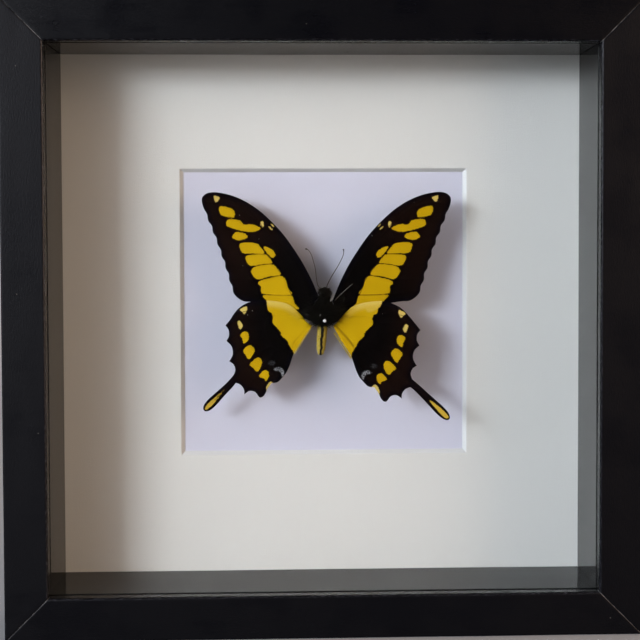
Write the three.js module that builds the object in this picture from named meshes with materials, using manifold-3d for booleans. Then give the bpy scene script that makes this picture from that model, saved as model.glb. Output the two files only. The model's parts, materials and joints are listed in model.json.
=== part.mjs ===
// Framed swallowtail butterfly: a square deep box frame, the glazed stack that
// fills it, and the pinned butterfly between the glass and the backdrop.
//
// Millimetres. +X is the viewer's right, +Y runs from the glass to the back and
// +Z is up. The origin is the middle of the frame's underside.

import * as THREE from 'three';
import { mergeVertices } from 'three/addons/utils/BufferGeometryUtils.js';
import Module from 'manifold-3d';

// Frame
const outer = 250; // side of the square frame
const depth = 45;
const faceWidth = 17; // front face of a rail
const wallThickness = 9.5; // rail behind the lip
const lipThickness = 4;
const innerArris = 0.9; // rounding of the lip's inner front edge
const outerArris = 0.8;

// Stack, from the glass to the back
const insert = 230; // side of every sheet in the rebate
const glassThickness = 2;
const spacerDepth = 27;
const matThickness = 1.5;
const backdropThickness = 0.4;
const pinningThickness = 3.2;
const backingThickness = 2.5;

// Mat window
const windowSize = 120; // at the front of the bevel
const windowShift = [0.6, 0.8]; // right and up from the middle of the mat

// Hardware on the back
const tabLength = 12;
const tabWidth = 7;
const tabThickness = 0.5;
const tabSpread = 60; // each tab from the middle of its rail
const hangerLength = 44;
const hangerHeight = 9;
const hangerFoot = 9;
const hangerSheet = 0.8;
const hangerLift = 1.6; // gap between the hanger and the board
const hangerTeeth = 9;
const hangerZ = 212;

// Butterfly
const wingThickness = 0.4;
const forewingY = -2.6;
const hindwingY = -3.6; // the hindwings overlap the forewings in front
const bodyTop = [0.7, -3.4, 137]; // front of the head
const bodyEnd = [-1.2, 0.6, 108.6]; // tip of the abdomen
const tailLength = 18;
const longTailLength = 21.2; // the right tail is the longer one
const antennaRadius = 0.2;
const clubRadius = 0.42;
const pinX = 0.3;
const pinZ = 123.6;
const pinRadius = 0.25;
const pinHeadRadius = 0.75;
const clearance = 0.3; // around pieces that touch in the real thing
const tooSmall = 0.001;

const middle = outer / 2;
const frontY = -depth / 2;
const glassY = frontY + lipThickness;
const spacerY = glassY + glassThickness;
const matY = spacerY + spacerDepth;
const backdropY = matY + matThickness;
const pinningY = backdropY + backdropThickness;
const backingY = pinningY + pinningThickness;
const recessY = backingY + backingThickness;
const opening = outer - 2 * faceWidth;
const pinStartY = -9;
const pinEndY = backingY - 0.6;

function finish(color, roughness, metalness) {
  return new THREE.MeshStandardMaterial({ color, roughness, metalness });
}

const blackRail = finish(0x15161a, 0.5, 0);
const glass = finish(0xe4eeee, 0.05, 0);
const blackSpacer = finish(0x0d0d10, 0.25, 0);
const matCard = finish(0xe6e6e2, 0.9, 0);
const backdropPaper = finish(0xdcdce8, 0.95, 0);
const foam = finish(0xefeee6, 0.9, 0);
const hardboard = finish(0x7a5636, 0.8, 0);
const zincSteel = finish(0xb4b6b8, 0.4, 1);
const wingScales = finish(0x1a100c, 0.7, 0);
const bodyHair = finish(0x2a2118, 0.9, 0);
const whiteEnamel = finish(0xe8e8ea, 0.3, 0);

const wasm = await Module();
wasm.setup();

function toSolid(geometry) {
  const bare = geometry.clone();
  bare.deleteAttribute('normal');
  bare.deleteAttribute('uv');
  const merged = mergeVertices(bare, tooSmall);
  return new wasm.Manifold(new wasm.Mesh({
    numProp: 3,
    vertProperties: new Float32Array(merged.attributes.position.array),
    triVerts: new Uint32Array(merged.index.array),
  }));
}

function toGeometry(solid) {
  const mesh = solid.getMesh();
  const geometry = new THREE.BufferGeometry();
  geometry.setAttribute('position', new THREE.BufferAttribute(mesh.vertProperties, 3));
  geometry.setIndex(new THREE.BufferAttribute(mesh.triVerts, 1));
  geometry.computeVertexNormals();
  return geometry;
}

function cut(geometry, tool) {
  return toGeometry(toSolid(geometry).subtract(toSolid(tool)));
}

function join(geometry, other) {
  return toGeometry(toSolid(geometry).add(toSolid(other)));
}

function named(name, geometry, material) {
  const mesh = new THREE.Mesh(geometry, material);
  mesh.name = name;
  return mesh;
}

// A cylinder along Y, as for a pin's hole.
function borer(x, z, radius, fromY, toY) {
  const tool = new THREE.CylinderGeometry(radius, radius, toY - fromY, 12);
  return tool.translate(x, (fromY + toY) / 2, z);
}

// ---------------------------------------------------------------- frame rails

// Section of a rail: x runs in from the frame's outer edge, y from front to back.
function railSection() {
  const section = new THREE.Shape();
  const backY = depth / 2;
  section.moveTo(outerArris, frontY);
  section.lineTo(faceWidth - innerArris, frontY);
  section.absarc(faceWidth - innerArris, frontY + innerArris, innerArris, -Math.PI / 2, 0, false);
  section.lineTo(faceWidth, glassY);
  section.lineTo(wallThickness, glassY);
  section.lineTo(wallThickness, backY);
  section.lineTo(0, backY);
  section.lineTo(0, frontY + outerArris);
  section.absarc(outerArris, frontY + outerArris, outerArris, Math.PI, Math.PI * 1.5, false);
  return section;
}

// The bottom rail, with both ends mitred by drawing each point in by its
// distance from the outer edge.
function railGeometry() {
  const geometry = new THREE.ExtrudeGeometry(railSection(), {
    depth: outer,
    bevelEnabled: false,
    curveSegments: 6,
  });
  const place = geometry.attributes.position;
  for (let i = 0; i < place.count; i += 1) {
    const inward = place.getX(i);
    const end = place.getZ(i) < middle ? 1 : -1;
    place.setXYZ(i, end * (middle - inward), place.getY(i), inward);
  }
  geometry.computeVertexNormals();
  return geometry;
}

// Turns what is made for the bottom rail round to another side of the frame.
function onSide(quarterTurns, object) {
  const turned = new THREE.Group();
  turned.position.z = middle;
  turned.rotation.y = (quarterTurns * Math.PI) / 2;
  object.position.z -= middle;
  turned.add(object);
  return turned;
}

const sides = ['bottom', 'left', 'top', 'right'];

function rails() {
  const group = new THREE.Group();
  sides.forEach((side, turn) => {
    group.add(onSide(turn, named(`rail_${side}`, railGeometry(), blackRail)));
  });
  return group;
}

// ---------------------------------------------------------------- glazed stack

function sheet(thickness, y) {
  return new THREE.BoxGeometry(insert, thickness, insert).translate(0, y + thickness / 2, middle);
}

function spacers() {
  const group = new THREE.Group();
  const thickness = (insert - opening) / 2;
  const edge = (insert + opening) / 4;
  const y = spacerY + spacerDepth / 2;
  for (const [name, end] of [['spacer_bottom', -1], ['spacer_top', 1]]) {
    const strip = named(name, new THREE.BoxGeometry(insert, spacerDepth, thickness), blackSpacer);
    strip.position.set(0, y, middle + end * edge);
    group.add(strip);
  }
  for (const [name, end] of [['spacer_left', -1], ['spacer_right', 1]]) {
    const strip = named(name, new THREE.BoxGeometry(thickness, spacerDepth, opening), blackSpacer);
    strip.position.set(end * edge, y, middle);
    group.add(strip);
  }
  return group;
}

// A four-sided cone whose sides slope at 45 degrees, so the window narrows from
// the mat's front to its back.
function windowCutter() {
  const overrun = 1;
  const half = windowSize / 2;
  const corner = Math.SQRT2;
  const front = (half + overrun) * corner;
  const back = (half - matThickness - overrun) * corner;
  const tool = new THREE.CylinderGeometry(back, front, matThickness + 2 * overrun, 4);
  tool.rotateY(Math.PI / 4);
  return tool.translate(windowShift[0], matY + matThickness / 2, middle + windowShift[1]);
}

function stack() {
  const group = new THREE.Group();
  const hole = pinRadius + clearance;
  const mat = cut(sheet(matThickness, matY), windowCutter());
  const backdrop = cut(
    sheet(backdropThickness, backdropY),
    borer(pinX, pinZ, hole, backdropY - 1, pinningY + 1),
  );
  const pinning = cut(
    sheet(pinningThickness, pinningY),
    borer(pinX, pinZ, hole, pinningY - 1, pinEndY + clearance),
  );
  group.add(named('glazing', sheet(glassThickness, glassY), glass));
  group.add(spacers());
  group.add(named('mat_board', mat, matCard));
  group.add(named('backdrop_sheet', backdrop, backdropPaper));
  group.add(named('pinning_board', pinning, foam));
  group.add(named('backing_board', sheet(backingThickness, backingY), hardboard));
  return group;
}

// ---------------------------------------------------------------- back hardware

// A bendable steel tab: it leaves the rail's inner wall and is pressed down on
// the backing board.
function tabGeometry() {
  const lift = 1.6;
  const bend = tabLength * 0.35;
  const profile = new THREE.Shape();
  profile.moveTo(wallThickness, recessY + lift);
  profile.lineTo(wallThickness + bend, recessY);
  profile.lineTo(wallThickness + tabLength, recessY);
  profile.lineTo(wallThickness + tabLength, recessY + tabThickness);
  profile.lineTo(wallThickness + bend, recessY + tabThickness);
  profile.lineTo(wallThickness, recessY + lift + tabThickness);
  profile.closePath();
  const geometry = new THREE.ExtrudeGeometry(profile, { depth: tabWidth, bevelEnabled: false });
  geometry.translate(0, 0, -tabWidth / 2);
  return geometry.applyMatrix4(new THREE.Matrix4().makeRotationY(-Math.PI / 2));
}

function tabs() {
  const group = new THREE.Group();
  sides.forEach((side, turn) => {
    for (const [number, along] of [[1, -tabSpread], [2, tabSpread]]) {
      const tab = named(`tab_${side}_${number}`, tabGeometry(), zincSteel);
      tab.position.x = along;
      group.add(onSide(turn, tab));
    }
  });
  return group;
}

// The strip below the hanger's edge that is cut away to leave its teeth.
function toothCutter(reach) {
  const pitch = reach / hangerTeeth;
  const rootZ = 1.2;
  const tipZ = 2.6;
  const outline = new THREE.Shape();
  outline.moveTo(-reach / 2, -1);
  outline.lineTo(reach / 2, -1);
  for (let i = hangerTeeth; i > 0; i -= 1) {
    const x = i * pitch - reach / 2;
    outline.lineTo(x, rootZ);
    outline.lineTo(x - pitch / 2, tipZ);
  }
  outline.lineTo(-reach / 2, rootZ);
  outline.closePath();
  const through = 3 * (hangerSheet + hangerLift);
  const tool = new THREE.ExtrudeGeometry(outline, { depth: through, bevelEnabled: false });
  return tool.rotateX(Math.PI / 2).translate(0, (through * 2) / 3, 0);
}

// A sawtooth hanger: two feet on the board and a raised, toothed bridge.
function hangerGeometry() {
  const half = hangerLength / 2;
  const inner = half - hangerFoot;
  const fold = inner - hangerLift;
  const bend = hangerSheet / 2; // keeps the sheet's thickness through the slope
  const top = hangerSheet + hangerLift;
  const underside = [[-half, 0], [-inner, 0], [-fold, hangerLift], [fold, hangerLift], [inner, 0]];
  const upper = [
    [half, 0], [half, hangerSheet], [inner + bend, hangerSheet], [fold + bend, top],
    [-fold - bend, top], [-inner - bend, hangerSheet], [-half, hangerSheet],
  ];
  const profile = new THREE.Shape([...underside, ...upper].map(([x, y]) => new THREE.Vector2(x, y)));
  const bar = new THREE.ExtrudeGeometry(profile, { depth: hangerHeight, bevelEnabled: false });
  return cut(bar, toothCutter(2 * (fold - 1)));
}

function rivetGeometry() {
  const profile = [[0, 0], [1.9, 0], [1.7, 0.5], [1.1, 0.85], [0, 1]];
  return new THREE.LatheGeometry(profile.map(([r, y]) => new THREE.Vector2(r, y)), 16);
}

function hanger() {
  const group = new THREE.Group();
  group.position.set(0, recessY, hangerZ);
  group.add(named('hanger_plate', hangerGeometry(), zincSteel));
  const footMiddle = (hangerLength - hangerFoot) / 2;
  for (const [name, x] of [['rivet_left', -footMiddle], ['rivet_right', footMiddle]]) {
    const rivet = named(name, rivetGeometry(), zincSteel);
    rivet.position.set(x, hangerSheet, hangerHeight / 2);
    group.add(rivet);
  }
  return group;
}

// ---------------------------------------------------------------- wings

// Points on a wing are [out from its hinge line, up from the frame's middle].
// An outline is a list of runs: each is a smooth curve, and runs meet in a corner.

// Three points of the hollow between two teeth of a wing's edge.
function scallop(from, to, hollow) {
  const [dx, dy] = [to[0] - from[0], to[1] - from[1]];
  const length = Math.hypot(dx, dy);
  const dip = (share, amount) => [
    from[0] + dx * share + (dy / length) * hollow * amount,
    from[1] + dy * share - (dx / length) * hollow * amount,
  ];
  return [from, dip(0.25, 0.8), dip(0.5, 1), dip(0.75, 0.8), to];
}

// The forewing's outer edge, slightly hollow with a shallow wave at each cell.
function wavyEdge(from, to, hollow, waves, height) {
  const points = [];
  const steps = waves * 2;
  const [dx, dy] = [to[0] - from[0], to[1] - from[1]];
  const length = Math.hypot(dx, dy);
  for (let i = 1; i < steps; i += 1) {
    const share = i / steps;
    const wave = (i % 2 ? -1 : 1) * height;
    const offset = hollow * 4 * share * (1 - share) - wave;
    points.push([
      from[0] + dx * share + (dy / length) * offset,
      from[1] + dy * share - (dx / length) * offset,
    ]);
  }
  return points;
}

function forewingRuns() {
  const apexEnd = [46.4, 43.6];
  const tornus = [34.6, 9.8];
  return [
    [
      [-1.2, 4.4], [0, 7.9], [2.95, 14.95], [6.35, 21.5], [9.95, 27.2], [14, 32.85],
      [19, 38.35], [24.5, 43.25], [30.1, 46.8], [35.6, 49.05], [41.2, 50.2], [44.9, 49.9],
      [46.9, 48.4], [47.2, 46.5],
      apexEnd,
      ...wavyEdge(apexEnd, tornus, 0.7, 7, 0.3),
      tornus, [32.8, 7.6], [30.2, 6.2], [27, 6], [20, 4.8], [12, 1.9], [5, -1], [-0.6, -2.4],
    ],
    [[-0.6, -2.4], [-1.2, 4.4]],
  ];
}

// The hindwing's tail, from its outer root round the tip to its inner root: a
// stalk that widens to a paddle, drawn as half widths along its length. It leans
// a little to one side.
function tailRun(outerRoot, innerRoot, length, lean) {
  const direction = [0.71, -0.704];
  const halfWidths = [
    [0.16, 1.45], [0.35, 1.55], [0.55, 1.75], [0.75, 1.95], [0.9, 1.65], [0.98, 0.85],
  ];
  const root = [(outerRoot[0] + innerRoot[0]) / 2, (outerRoot[1] + innerRoot[1]) / 2];
  const at = (share, half) => [
    root[0] + direction[0] * share * length - direction[1] * half,
    root[1] + direction[1] * share * length + direction[0] * half,
  ];
  const outward = halfWidths.map(([share, half]) => at(share, half + lean));
  const inward = halfWidths.map(([share, half]) => at(share, lean - half)).reverse();
  return [outerRoot, ...outward, at(1, lean), ...inward, innerRoot];
}

// The front and inner edges of a hindwing, which was drawn further up on the right.
const leftEdges = {
  front: [
    [1.2, -3.4], [3.4, -1.9], [5.6, 0.8], [8.9, 3.9], [12.3, 5.6], [16, 6.3], [20, 6.6],
    [26, 6.1], [30.4, 3.9], [33.1, 0.9], [34.2, -0.9],
  ],
  inner: [[8.7, -14.7], [6.9, -12.2], [4.9, -9.1], [2.8, -5.9], [1.2, -3.4]],
};
const rightEdges = {
  front: [
    [1.3, -1.6], [2.9, 0], [4.8, 2.1], [6.5, 4], [8.8, 6], [11.5, 7.1], [14.2, 7.8],
    [17.6, 8.2], [21, 8.3], [23.7, 7.8], [25.7, 7.1], [28.4, 5.6], [30.7, 3.4], [32.8, 1],
    [34.2, -0.8],
  ],
  inner: [[8.6, -14.2], [6.7, -11.1], [4.9, -8.3], [3.1, -5.1], [1.3, -1.6]],
};

function hindwingRuns(length, edges, lean) {
  const teeth = [[36.3, -3.4], [35.9, -9.6], [34.8, -17.8], [28.7, -31.1], [22.9, -31.9]];
  const tailOuter = [33, -23.3];
  const tailInner = [32.2, -26.5];
  return [
    [...edges.front, teeth[0]],
    scallop(teeth[0], teeth[1], 1.3),
    scallop(teeth[1], teeth[2], 2),
    scallop(teeth[2], tailOuter, 1.4),
    tailRun(tailOuter, tailInner, length, lean),
    scallop(tailInner, teeth[3], 1.2),
    scallop(teeth[3], teeth[4], 1.8),
    [teeth[4], [22.3, -32.3], [21.3, -32], [20.3, -30.9], [19.3, -28.7], [17.7, -26.4]],
    [
      [17.7, -26.4], [15.3, -26.1], [13.2, -24.1], [11.5, -21.9], [10.1, -18.7],
      ...edges.inner,
    ],
  ];
}

function wingGeometry(runs, side, spread) {
  const flat = ([out, up]) => new THREE.Vector2(side * out * spread[0], up * spread[1]);
  const shape = new THREE.Shape();
  shape.moveTo(...flat(runs[0][0]));
  for (const run of runs) {
    shape.splineThru(run.slice(1).map(flat));
  }
  const geometry = new THREE.ExtrudeGeometry(shape, {
    depth: wingThickness,
    bevelEnabled: false,
    curveSegments: 3,
  });
  return geometry.rotateX(Math.PI / 2);
}

// Body profile as [share of the length from the head, radius].
const bodyProfile = [
  [0, 0], [0.01, 1], [0.05, 2], [0.09, 2.3], [0.13, 2], [0.16, 2.1], [0.22, 3.5], [0.3, 4.2],
  [0.38, 4.1], [0.46, 3], [0.52, 2.1], [0.62, 2.2], [0.76, 2.15], [0.88, 1.9], [0.96, 1.2],
  [0.99, 0.6], [1, 0],
];

function bodyGeometry(swell) {
  const top = new THREE.Vector3(...bodyTop);
  const end = new THREE.Vector3(...bodyEnd);
  const length = top.distanceTo(end);
  const profile = bodyProfile.map(([share, radius]) => {
    const onAxis = radius === 0;
    const grow = share < 0.5 ? -swell : swell;
    return new THREE.Vector2(onAxis ? 0 : radius + swell, -share * length - (onAxis ? grow : 0));
  });
  const geometry = new THREE.LatheGeometry(profile.reverse(), 28);
  const lean = new THREE.Quaternion().setFromUnitVectors(
    new THREE.Vector3(0, 1, 0),
    top.clone().sub(end).normalize(),
  );
  geometry.applyQuaternion(lean);
  return geometry.translate(...bodyTop);
}

// Cuts a tool, given in the whole object's frame, from a mesh already placed.
function cutInPlace(mesh, tool) {
  mesh.updateWorldMatrix(true, false);
  const local = tool.clone().applyMatrix4(mesh.matrixWorld.clone().invert());
  mesh.geometry = cut(mesh.geometry, local);
}

// A wing on its hinge: rise is how many degrees its tip stands forward, and spread
// is how far the outline is stretched outwards and upwards.
function wing(name, runs, side, hinge, rise, spread) {
  const group = new THREE.Group();
  group.position.set(...hinge);
  group.rotation.z = -side * THREE.MathUtils.degToRad(rise);
  const mesh = named(name, wingGeometry(runs, side, spread), wingScales);
  group.add(mesh);
  cutInPlace(mesh, bodyGeometry(clearance));
  return group;
}

function wings() {
  const group = new THREE.Group();
  const fore = forewingRuns();
  const low = middle - 0.3;
  group.add(wing('forewing_left', fore, -1, [-1.8, forewingY, low], -6, [1.015, 1.014]));
  group.add(wing('forewing_right', fore, 1, [4.2, forewingY, low], -3.5, [1.024, 1.011]));
  const left = hindwingRuns(tailLength, leftEdges, -0.25);
  const right = hindwingRuns(longTailLength, rightEdges, 0.25);
  group.add(wing('hindwing_left', left, -1, [-3.4, hindwingY, low], -6, [1.0145, 1.019]));
  group.add(wing('hindwing_right', right, 1, [2.6, hindwingY, low - 2], 0.5, [1.014, 1.008]));
  return group;
}

// ---------------------------------------------------------------- body and pin

// An antenna: a fine tube along a curve, with a club at its tip.
function antenna(name, points) {
  const path = new THREE.CatmullRomCurve3(points.map((point) => new THREE.Vector3(...point)));
  const ring = new THREE.Shape();
  ring.absarc(0, 0, antennaRadius, 0, Math.PI * 2, false);
  const stem = new THREE.ExtrudeGeometry(ring, {
    extrudePath: path,
    steps: 24,
    curveSegments: 4,
    bevelEnabled: false,
  });
  const club = new THREE.SphereGeometry(clubRadius, 10, 8);
  club.scale(1, 2.6, 1);
  const along = path.getTangent(1);
  const lean = new THREE.Quaternion().setFromUnitVectors(new THREE.Vector3(0, 1, 0), along);
  club.applyQuaternion(lean);
  club.translate(...points[points.length - 1]);
  return named(name, join(stem, club), bodyHair);
}

function pinGeometry() {
  const neckY = pinStartY + pinHeadRadius;
  const tipY = pinEndY - 2;
  const profile = [
    [0, pinStartY], [pinHeadRadius * 0.7, pinStartY + 0.12], [pinHeadRadius, pinStartY + 0.4],
    [pinHeadRadius * 0.7, neckY - 0.05], [pinRadius, neckY + 0.1], [pinRadius, tipY], [0, pinEndY],
  ];
  const points = profile.map(([r, y]) => new THREE.Vector2(r, y));
  return new THREE.LatheGeometry(points, 12).translate(pinX, 0, pinZ);
}

function butterfly() {
  const group = new THREE.Group();
  const bore = borer(pinX, pinZ, pinRadius + clearance, pinStartY - 1, matY);
  group.add(named('body', cut(bodyGeometry(0), bore), bodyHair));
  group.add(wings());
  group.add(antenna('antenna_left', [
    [-2.4, -4.8, 138], [-2.9, -5.3, 140.8], [-3.3, -6, 144.4], [-4.1, -6.6, 147.5],
    [-5, -7.2, 150.3], [-6.1, -7.5, 152], [-7.4, -7.6, 152.6],
  ]));
  group.add(antenna('antenna_right', [
    [1.5, -4.6, 138], [3.4, -5.6, 141.6], [5.7, -6.5, 145.4], [7.6, -7.2, 149.2],
    [8.1, -7.5, 151.3], [7.9, -7.6, 152.4],
  ]));
  group.add(named('specimen_pin', pinGeometry(), whiteEnamel));
  return group;
}

const framedButterfly = new THREE.Group();
framedButterfly.add(rails());
framedButterfly.add(stack());
framedButterfly.add(tabs());
framedButterfly.add(hanger());
framedButterfly.add(butterfly());

export default framedButterfly;
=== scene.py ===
"""Framed swallowtail specimen: the looks of each piece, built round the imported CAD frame.

Shapes are worked out in millimetres in the frame's own axes: +X is the viewer's right,
+Y runs from the glass to the back, +Z is up, and the origin is under the middle of the
frame. make_piece turns them into metres.
"""

import json
import math

import bpy
import numpy as np
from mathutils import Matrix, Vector, geometry

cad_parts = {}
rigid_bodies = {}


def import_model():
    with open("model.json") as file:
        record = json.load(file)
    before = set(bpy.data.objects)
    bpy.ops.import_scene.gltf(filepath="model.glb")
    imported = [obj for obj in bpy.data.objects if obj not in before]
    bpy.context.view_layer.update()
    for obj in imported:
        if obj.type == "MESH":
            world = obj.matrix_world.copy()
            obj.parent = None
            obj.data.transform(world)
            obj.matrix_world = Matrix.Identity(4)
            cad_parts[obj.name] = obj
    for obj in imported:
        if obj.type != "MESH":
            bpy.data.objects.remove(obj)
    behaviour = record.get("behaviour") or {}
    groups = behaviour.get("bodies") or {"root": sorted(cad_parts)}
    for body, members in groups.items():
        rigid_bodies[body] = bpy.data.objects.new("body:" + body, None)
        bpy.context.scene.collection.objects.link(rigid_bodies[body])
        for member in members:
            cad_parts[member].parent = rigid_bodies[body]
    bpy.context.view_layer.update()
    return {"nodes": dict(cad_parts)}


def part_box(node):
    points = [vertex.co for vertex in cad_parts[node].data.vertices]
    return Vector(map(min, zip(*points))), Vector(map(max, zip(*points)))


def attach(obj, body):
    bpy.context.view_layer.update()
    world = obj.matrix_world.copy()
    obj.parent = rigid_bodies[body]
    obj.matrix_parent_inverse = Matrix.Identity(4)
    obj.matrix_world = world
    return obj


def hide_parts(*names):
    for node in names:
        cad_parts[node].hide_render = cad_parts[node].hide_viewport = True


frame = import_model()

bl_info = {
    "name": "Framed Swallowtail Specimen",
    "version": (1, 0, 0),
    "blender": (4, 5, 0),
    "location": "View3D > Sidebar > Specimen",
    "description": "Builds a pinned swallowtail in a deep black box frame",
    "category": "Object",
}

MM = 0.001
MIDDLE = 125.0  # height of the frame's middle
SIDES = ("bottom", "left", "top", "right")
FRONT = -22.5  # the rails' front face
GLASS = -18.5  # front of the glass, against the rails' lip
MAT = 10.5  # front of the mat
PAPER = 12.0  # front of the backdrop
RECESS = 18.1  # back of the hardboard
BACK = 22.5  # the rails' rear face
SHEET = 115.0  # half the side of every sheet in the frame
FACE = 17.0  # width of a rail's front face
WALL = 9.5  # width of a rail behind its lip
MITRE_GAP = 0.025  # from a rail's end to the true mitre
MITRE_REACH = 1.5  # how far the seam at a mitre affects a rail
RAIL_STEPS = 60
WINDOW = 60.0  # half the side of the mat's window
WINDOW_SHIFT = np.array([0.6, 0.8])  # right and up from the middle of the mat
TAB_STRAIGHT = 8.6  # length of a tab up to its round end
TAB_HALF = 3.45  # half the width of a tab
TAB_SPREAD = 60  # each tab from the middle of its rail
PIN_AT = (0.3, 0, 123.6)
BODY_TOP = np.array([0.7, -3.4, 137.0])  # front of the head
BODY_END = np.array([-1.2, 0.6, 108.6])  # tip of the abdomen


# ------------------------------------------------------------------ settings


def colour(name, description, default):
    """A colour the user may change."""
    return bpy.props.FloatVectorProperty(
        name=name, description=description, default=default,
        subtype="COLOR", size=3, min=0, max=1,
    )


def length(name, description, default):
    """A length the user may change, in metres."""
    return bpy.props.FloatProperty(
        name=name, description=description, default=default, min=0, unit="LENGTH",
    )


class FrameSettings(bpy.types.PropertyGroup):
    """Finish of the frame and of the sheets in it."""

    rail_colour: colour("Rail", "Black wrap on the rails", (0.0026, 0.0029, 0.0047))
    mat_colour: colour("Mat", "Face of the mat board", (0.8, 0.795, 0.76))
    paper_colour: colour("Backdrop", "Paper behind the butterfly", (0.69, 0.69, 0.81))
    board_colour: colour("Back board", "Hardboard at the back", (0.2, 0.11, 0.055))
    seam_depth: length("Mitre seam", "Depth of the groove at each mitre", 0.0002)
    rail_wave: length("Rail wave", "Unevenness of the rail's surface", 0.00003)


class ButterflySettings(bpy.types.PropertyGroup):
    """Colours and hair of the butterfly."""

    band_colour: colour("Band", "Yellow of the wing band", (0.55, 0.345, 0.003))
    # the pale colour also paints the highlight along each hindwing's front edge
    pale_colour: colour("Pale scales", "Paler yellow of the outer spots", (0.66, 0.52, 0.15))
    dark_colour: colour("Dark scales", "Brown-black of the outer wings", (0.0075, 0.0028, 0.0018))
    base_colour: colour("Wing base", "Black of the wing bases", (0.0012, 0.0008, 0.0009))
    mesh_step: length("Wing mesh", "Distance between points on a wing", 0.00042)
    membrane: length("Membrane", "Thickness of a wing", 0.00012)
    thorax_hairs: bpy.props.IntProperty(
        name="Thorax hairs", description="Number of hairs on the thorax and head",
        default=5200, min=0,
    )
    tuft_hairs: bpy.props.IntProperty(
        name="Root hairs", description="Number of long hairs at each side of the thorax",
        default=2600, min=0,
    )
    abdomen_hairs: bpy.props.IntProperty(
        name="Abdomen hairs", description="Number of hairs on the abdomen",
        default=2600, min=0,
    )


class StageSettings(bpy.types.PropertyGroup):
    """Floor and lights."""

    floor_colour: colour("Floor", "Floor and wall behind", (0.76, 0.78, 0.8))
    window_power: bpy.props.FloatProperty(
        name="Window", description="Power of the cool light at the left", default=50,
        min=0, unit="POWER",
    )
    room_strength: bpy.props.FloatProperty(
        name="Room", description="Strength of the warm light all round", default=0.05, min=0,
    )


# ------------------------------------------------------------------ meshes


def facing_out(points, faces):
    """The faces of a closed mesh, turned over if they face inwards."""
    volume = 0.0
    for face in faces:
        corners = points[face]
        for k in range(1, len(face) - 1):
            volume += corners[0] @ np.cross(corners[k], corners[k + 1])
    return faces if volume > 0 else [face[::-1] for face in faces]


def make_piece(name, points, faces, finish, replaces=(), values=None, crease=None):
    """A mesh from points in millimetres, smooth shaded, that rides on the frame."""
    mesh = bpy.data.meshes.new(name)
    points = np.asarray(points, float)
    faces = [[int(corner) for corner in face] for face in faces]
    if len(faces) < 12000:
        faces = facing_out(points - points.mean(0), faces)
    mesh.from_pydata((points * MM).tolist(), [], faces)
    for key, value in (values or {}).items():
        value = np.asarray(value, np.float32)
        kind, field = ("FLOAT_VECTOR", "vector") if value.ndim == 2 else ("FLOAT", "value")
        attribute = mesh.attributes.new(key, kind, "POINT")
        attribute.data.foreach_set(field, value.ravel())
    mesh.update()
    mesh.shade_smooth()
    if crease is not None:
        mesh.set_sharp_from_angle(angle=math.radians(crease))
    mesh.materials.append(finish)
    piece = bpy.data.objects.new(name, mesh)
    bpy.context.scene.collection.objects.link(piece)
    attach(piece, "root")
    if replaces:
        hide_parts(*replaces)
    return piece


def unit(vectors):
    """Vectors of the same directions, one long."""
    size = np.linalg.norm(vectors, axis=-1, keepdims=True)
    return vectors / np.maximum(size, 1e-9)


def ripple(points, wave, seed):
    """Smooth repeatable noise, about -1 to 1, at each point."""
    chance = np.random.RandomState(seed)
    total = np.zeros(len(points))
    for _ in range(9):
        direction = unit(chance.normal(size=points.shape[1]))
        pitch = wave * chance.uniform(0.6, 1.6)
        total += np.sin(points @ direction * (2 * math.pi / pitch) + chance.uniform(0, 6.28))
    return total / 4.5


def step_up(value, low, high):
    """0 below low, 1 above high and smooth between."""
    share = np.clip((np.asarray(value, float) - low) / (high - low), 0, 1)
    return share * share * (3 - 2 * share)


def grid_faces(rows, columns):
    """Quads between points numbered row by row, with the last column joined to the first."""
    faces = []
    for row in range(rows - 1):
        for column in range(columns):
            after = (column + 1) % columns
            here = row * columns
            faces.append((here + column, here + after, here + columns + after,
                          here + columns + column))
    return faces


def tube_faces(rows, columns):
    """Quads round a tube of rows, and a face that closes each end."""
    last = (rows - 1) * columns
    faces = grid_faces(rows, columns)
    faces.append(list(range(columns))[::-1])
    faces.append(list(range(last, last + columns)))
    return faces


def turned(points, quarter_turns):
    """Points made for the bottom rail, turned to another side of the frame."""
    angle = quarter_turns * math.pi / 2
    cosine, sine = math.cos(angle), math.sin(angle)
    x, y, z = points[:, 0], points[:, 1], points[:, 2] - MIDDLE
    return np.stack([x * cosine + z * sine, y, z * cosine - x * sine + MIDDLE], 1)


def joined(*parts):
    """Several (points, faces) as one."""
    points, faces, count = [], [], 0
    for part_points, part_faces in parts:
        points.append(part_points)
        faces.extend([corner + count for corner in face] for face in part_faces)
        count += len(part_points)
    return np.vstack(points), faces


def rounded_loop(corners, radii, step):
    """A closed line round corners, each with its own radius, in points a step apart."""
    corners = np.array(corners, float)
    line = []
    for index, radius in enumerate(radii):
        at = corners[index]
        back = unit(corners[index - 1] - at)
        on = unit(corners[(index + 1) % len(corners)] - at)
        if radius == 0:
            line.append([at])
            continue
        half = math.acos(np.clip(back @ on, -1, 1)) / 2
        centre = at + unit(back + on) * radius / math.sin(half)
        start = at + back * radius / math.tan(half) - centre
        end = at + on * radius / math.tan(half) - centre
        shares = np.linspace(0, 1, 6)[:, None]
        line.append(centre + unit(start * (1 - shares) + end * shares) * radius)
    points = []
    for index, arc in enumerate(line):
        points.extend(arc)
        onward = line[(index + 1) % len(line)][0]
        reach = np.linalg.norm(onward - arc[-1])
        near = min(0.05 / reach, 0.2)
        for share in np.linspace(near, 1 - near, int(reach // step) + 2):
            points.append(arc[-1] * (1 - share) + onward * share)
    return np.array(points)


def loop_normals(loop):
    """Outward normals of a closed loop of 2-D points."""
    along = unit(np.roll(loop, -1, 0) - np.roll(loop, 1, 0))
    normals = np.stack([along[:, 1], -along[:, 0]], 1)
    nxt = np.roll(loop, -1, 0)
    area = np.sum(loop[:, 0] * nxt[:, 1] - nxt[:, 0] * loop[:, 1])
    return normals if area > 0 else -normals


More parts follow.
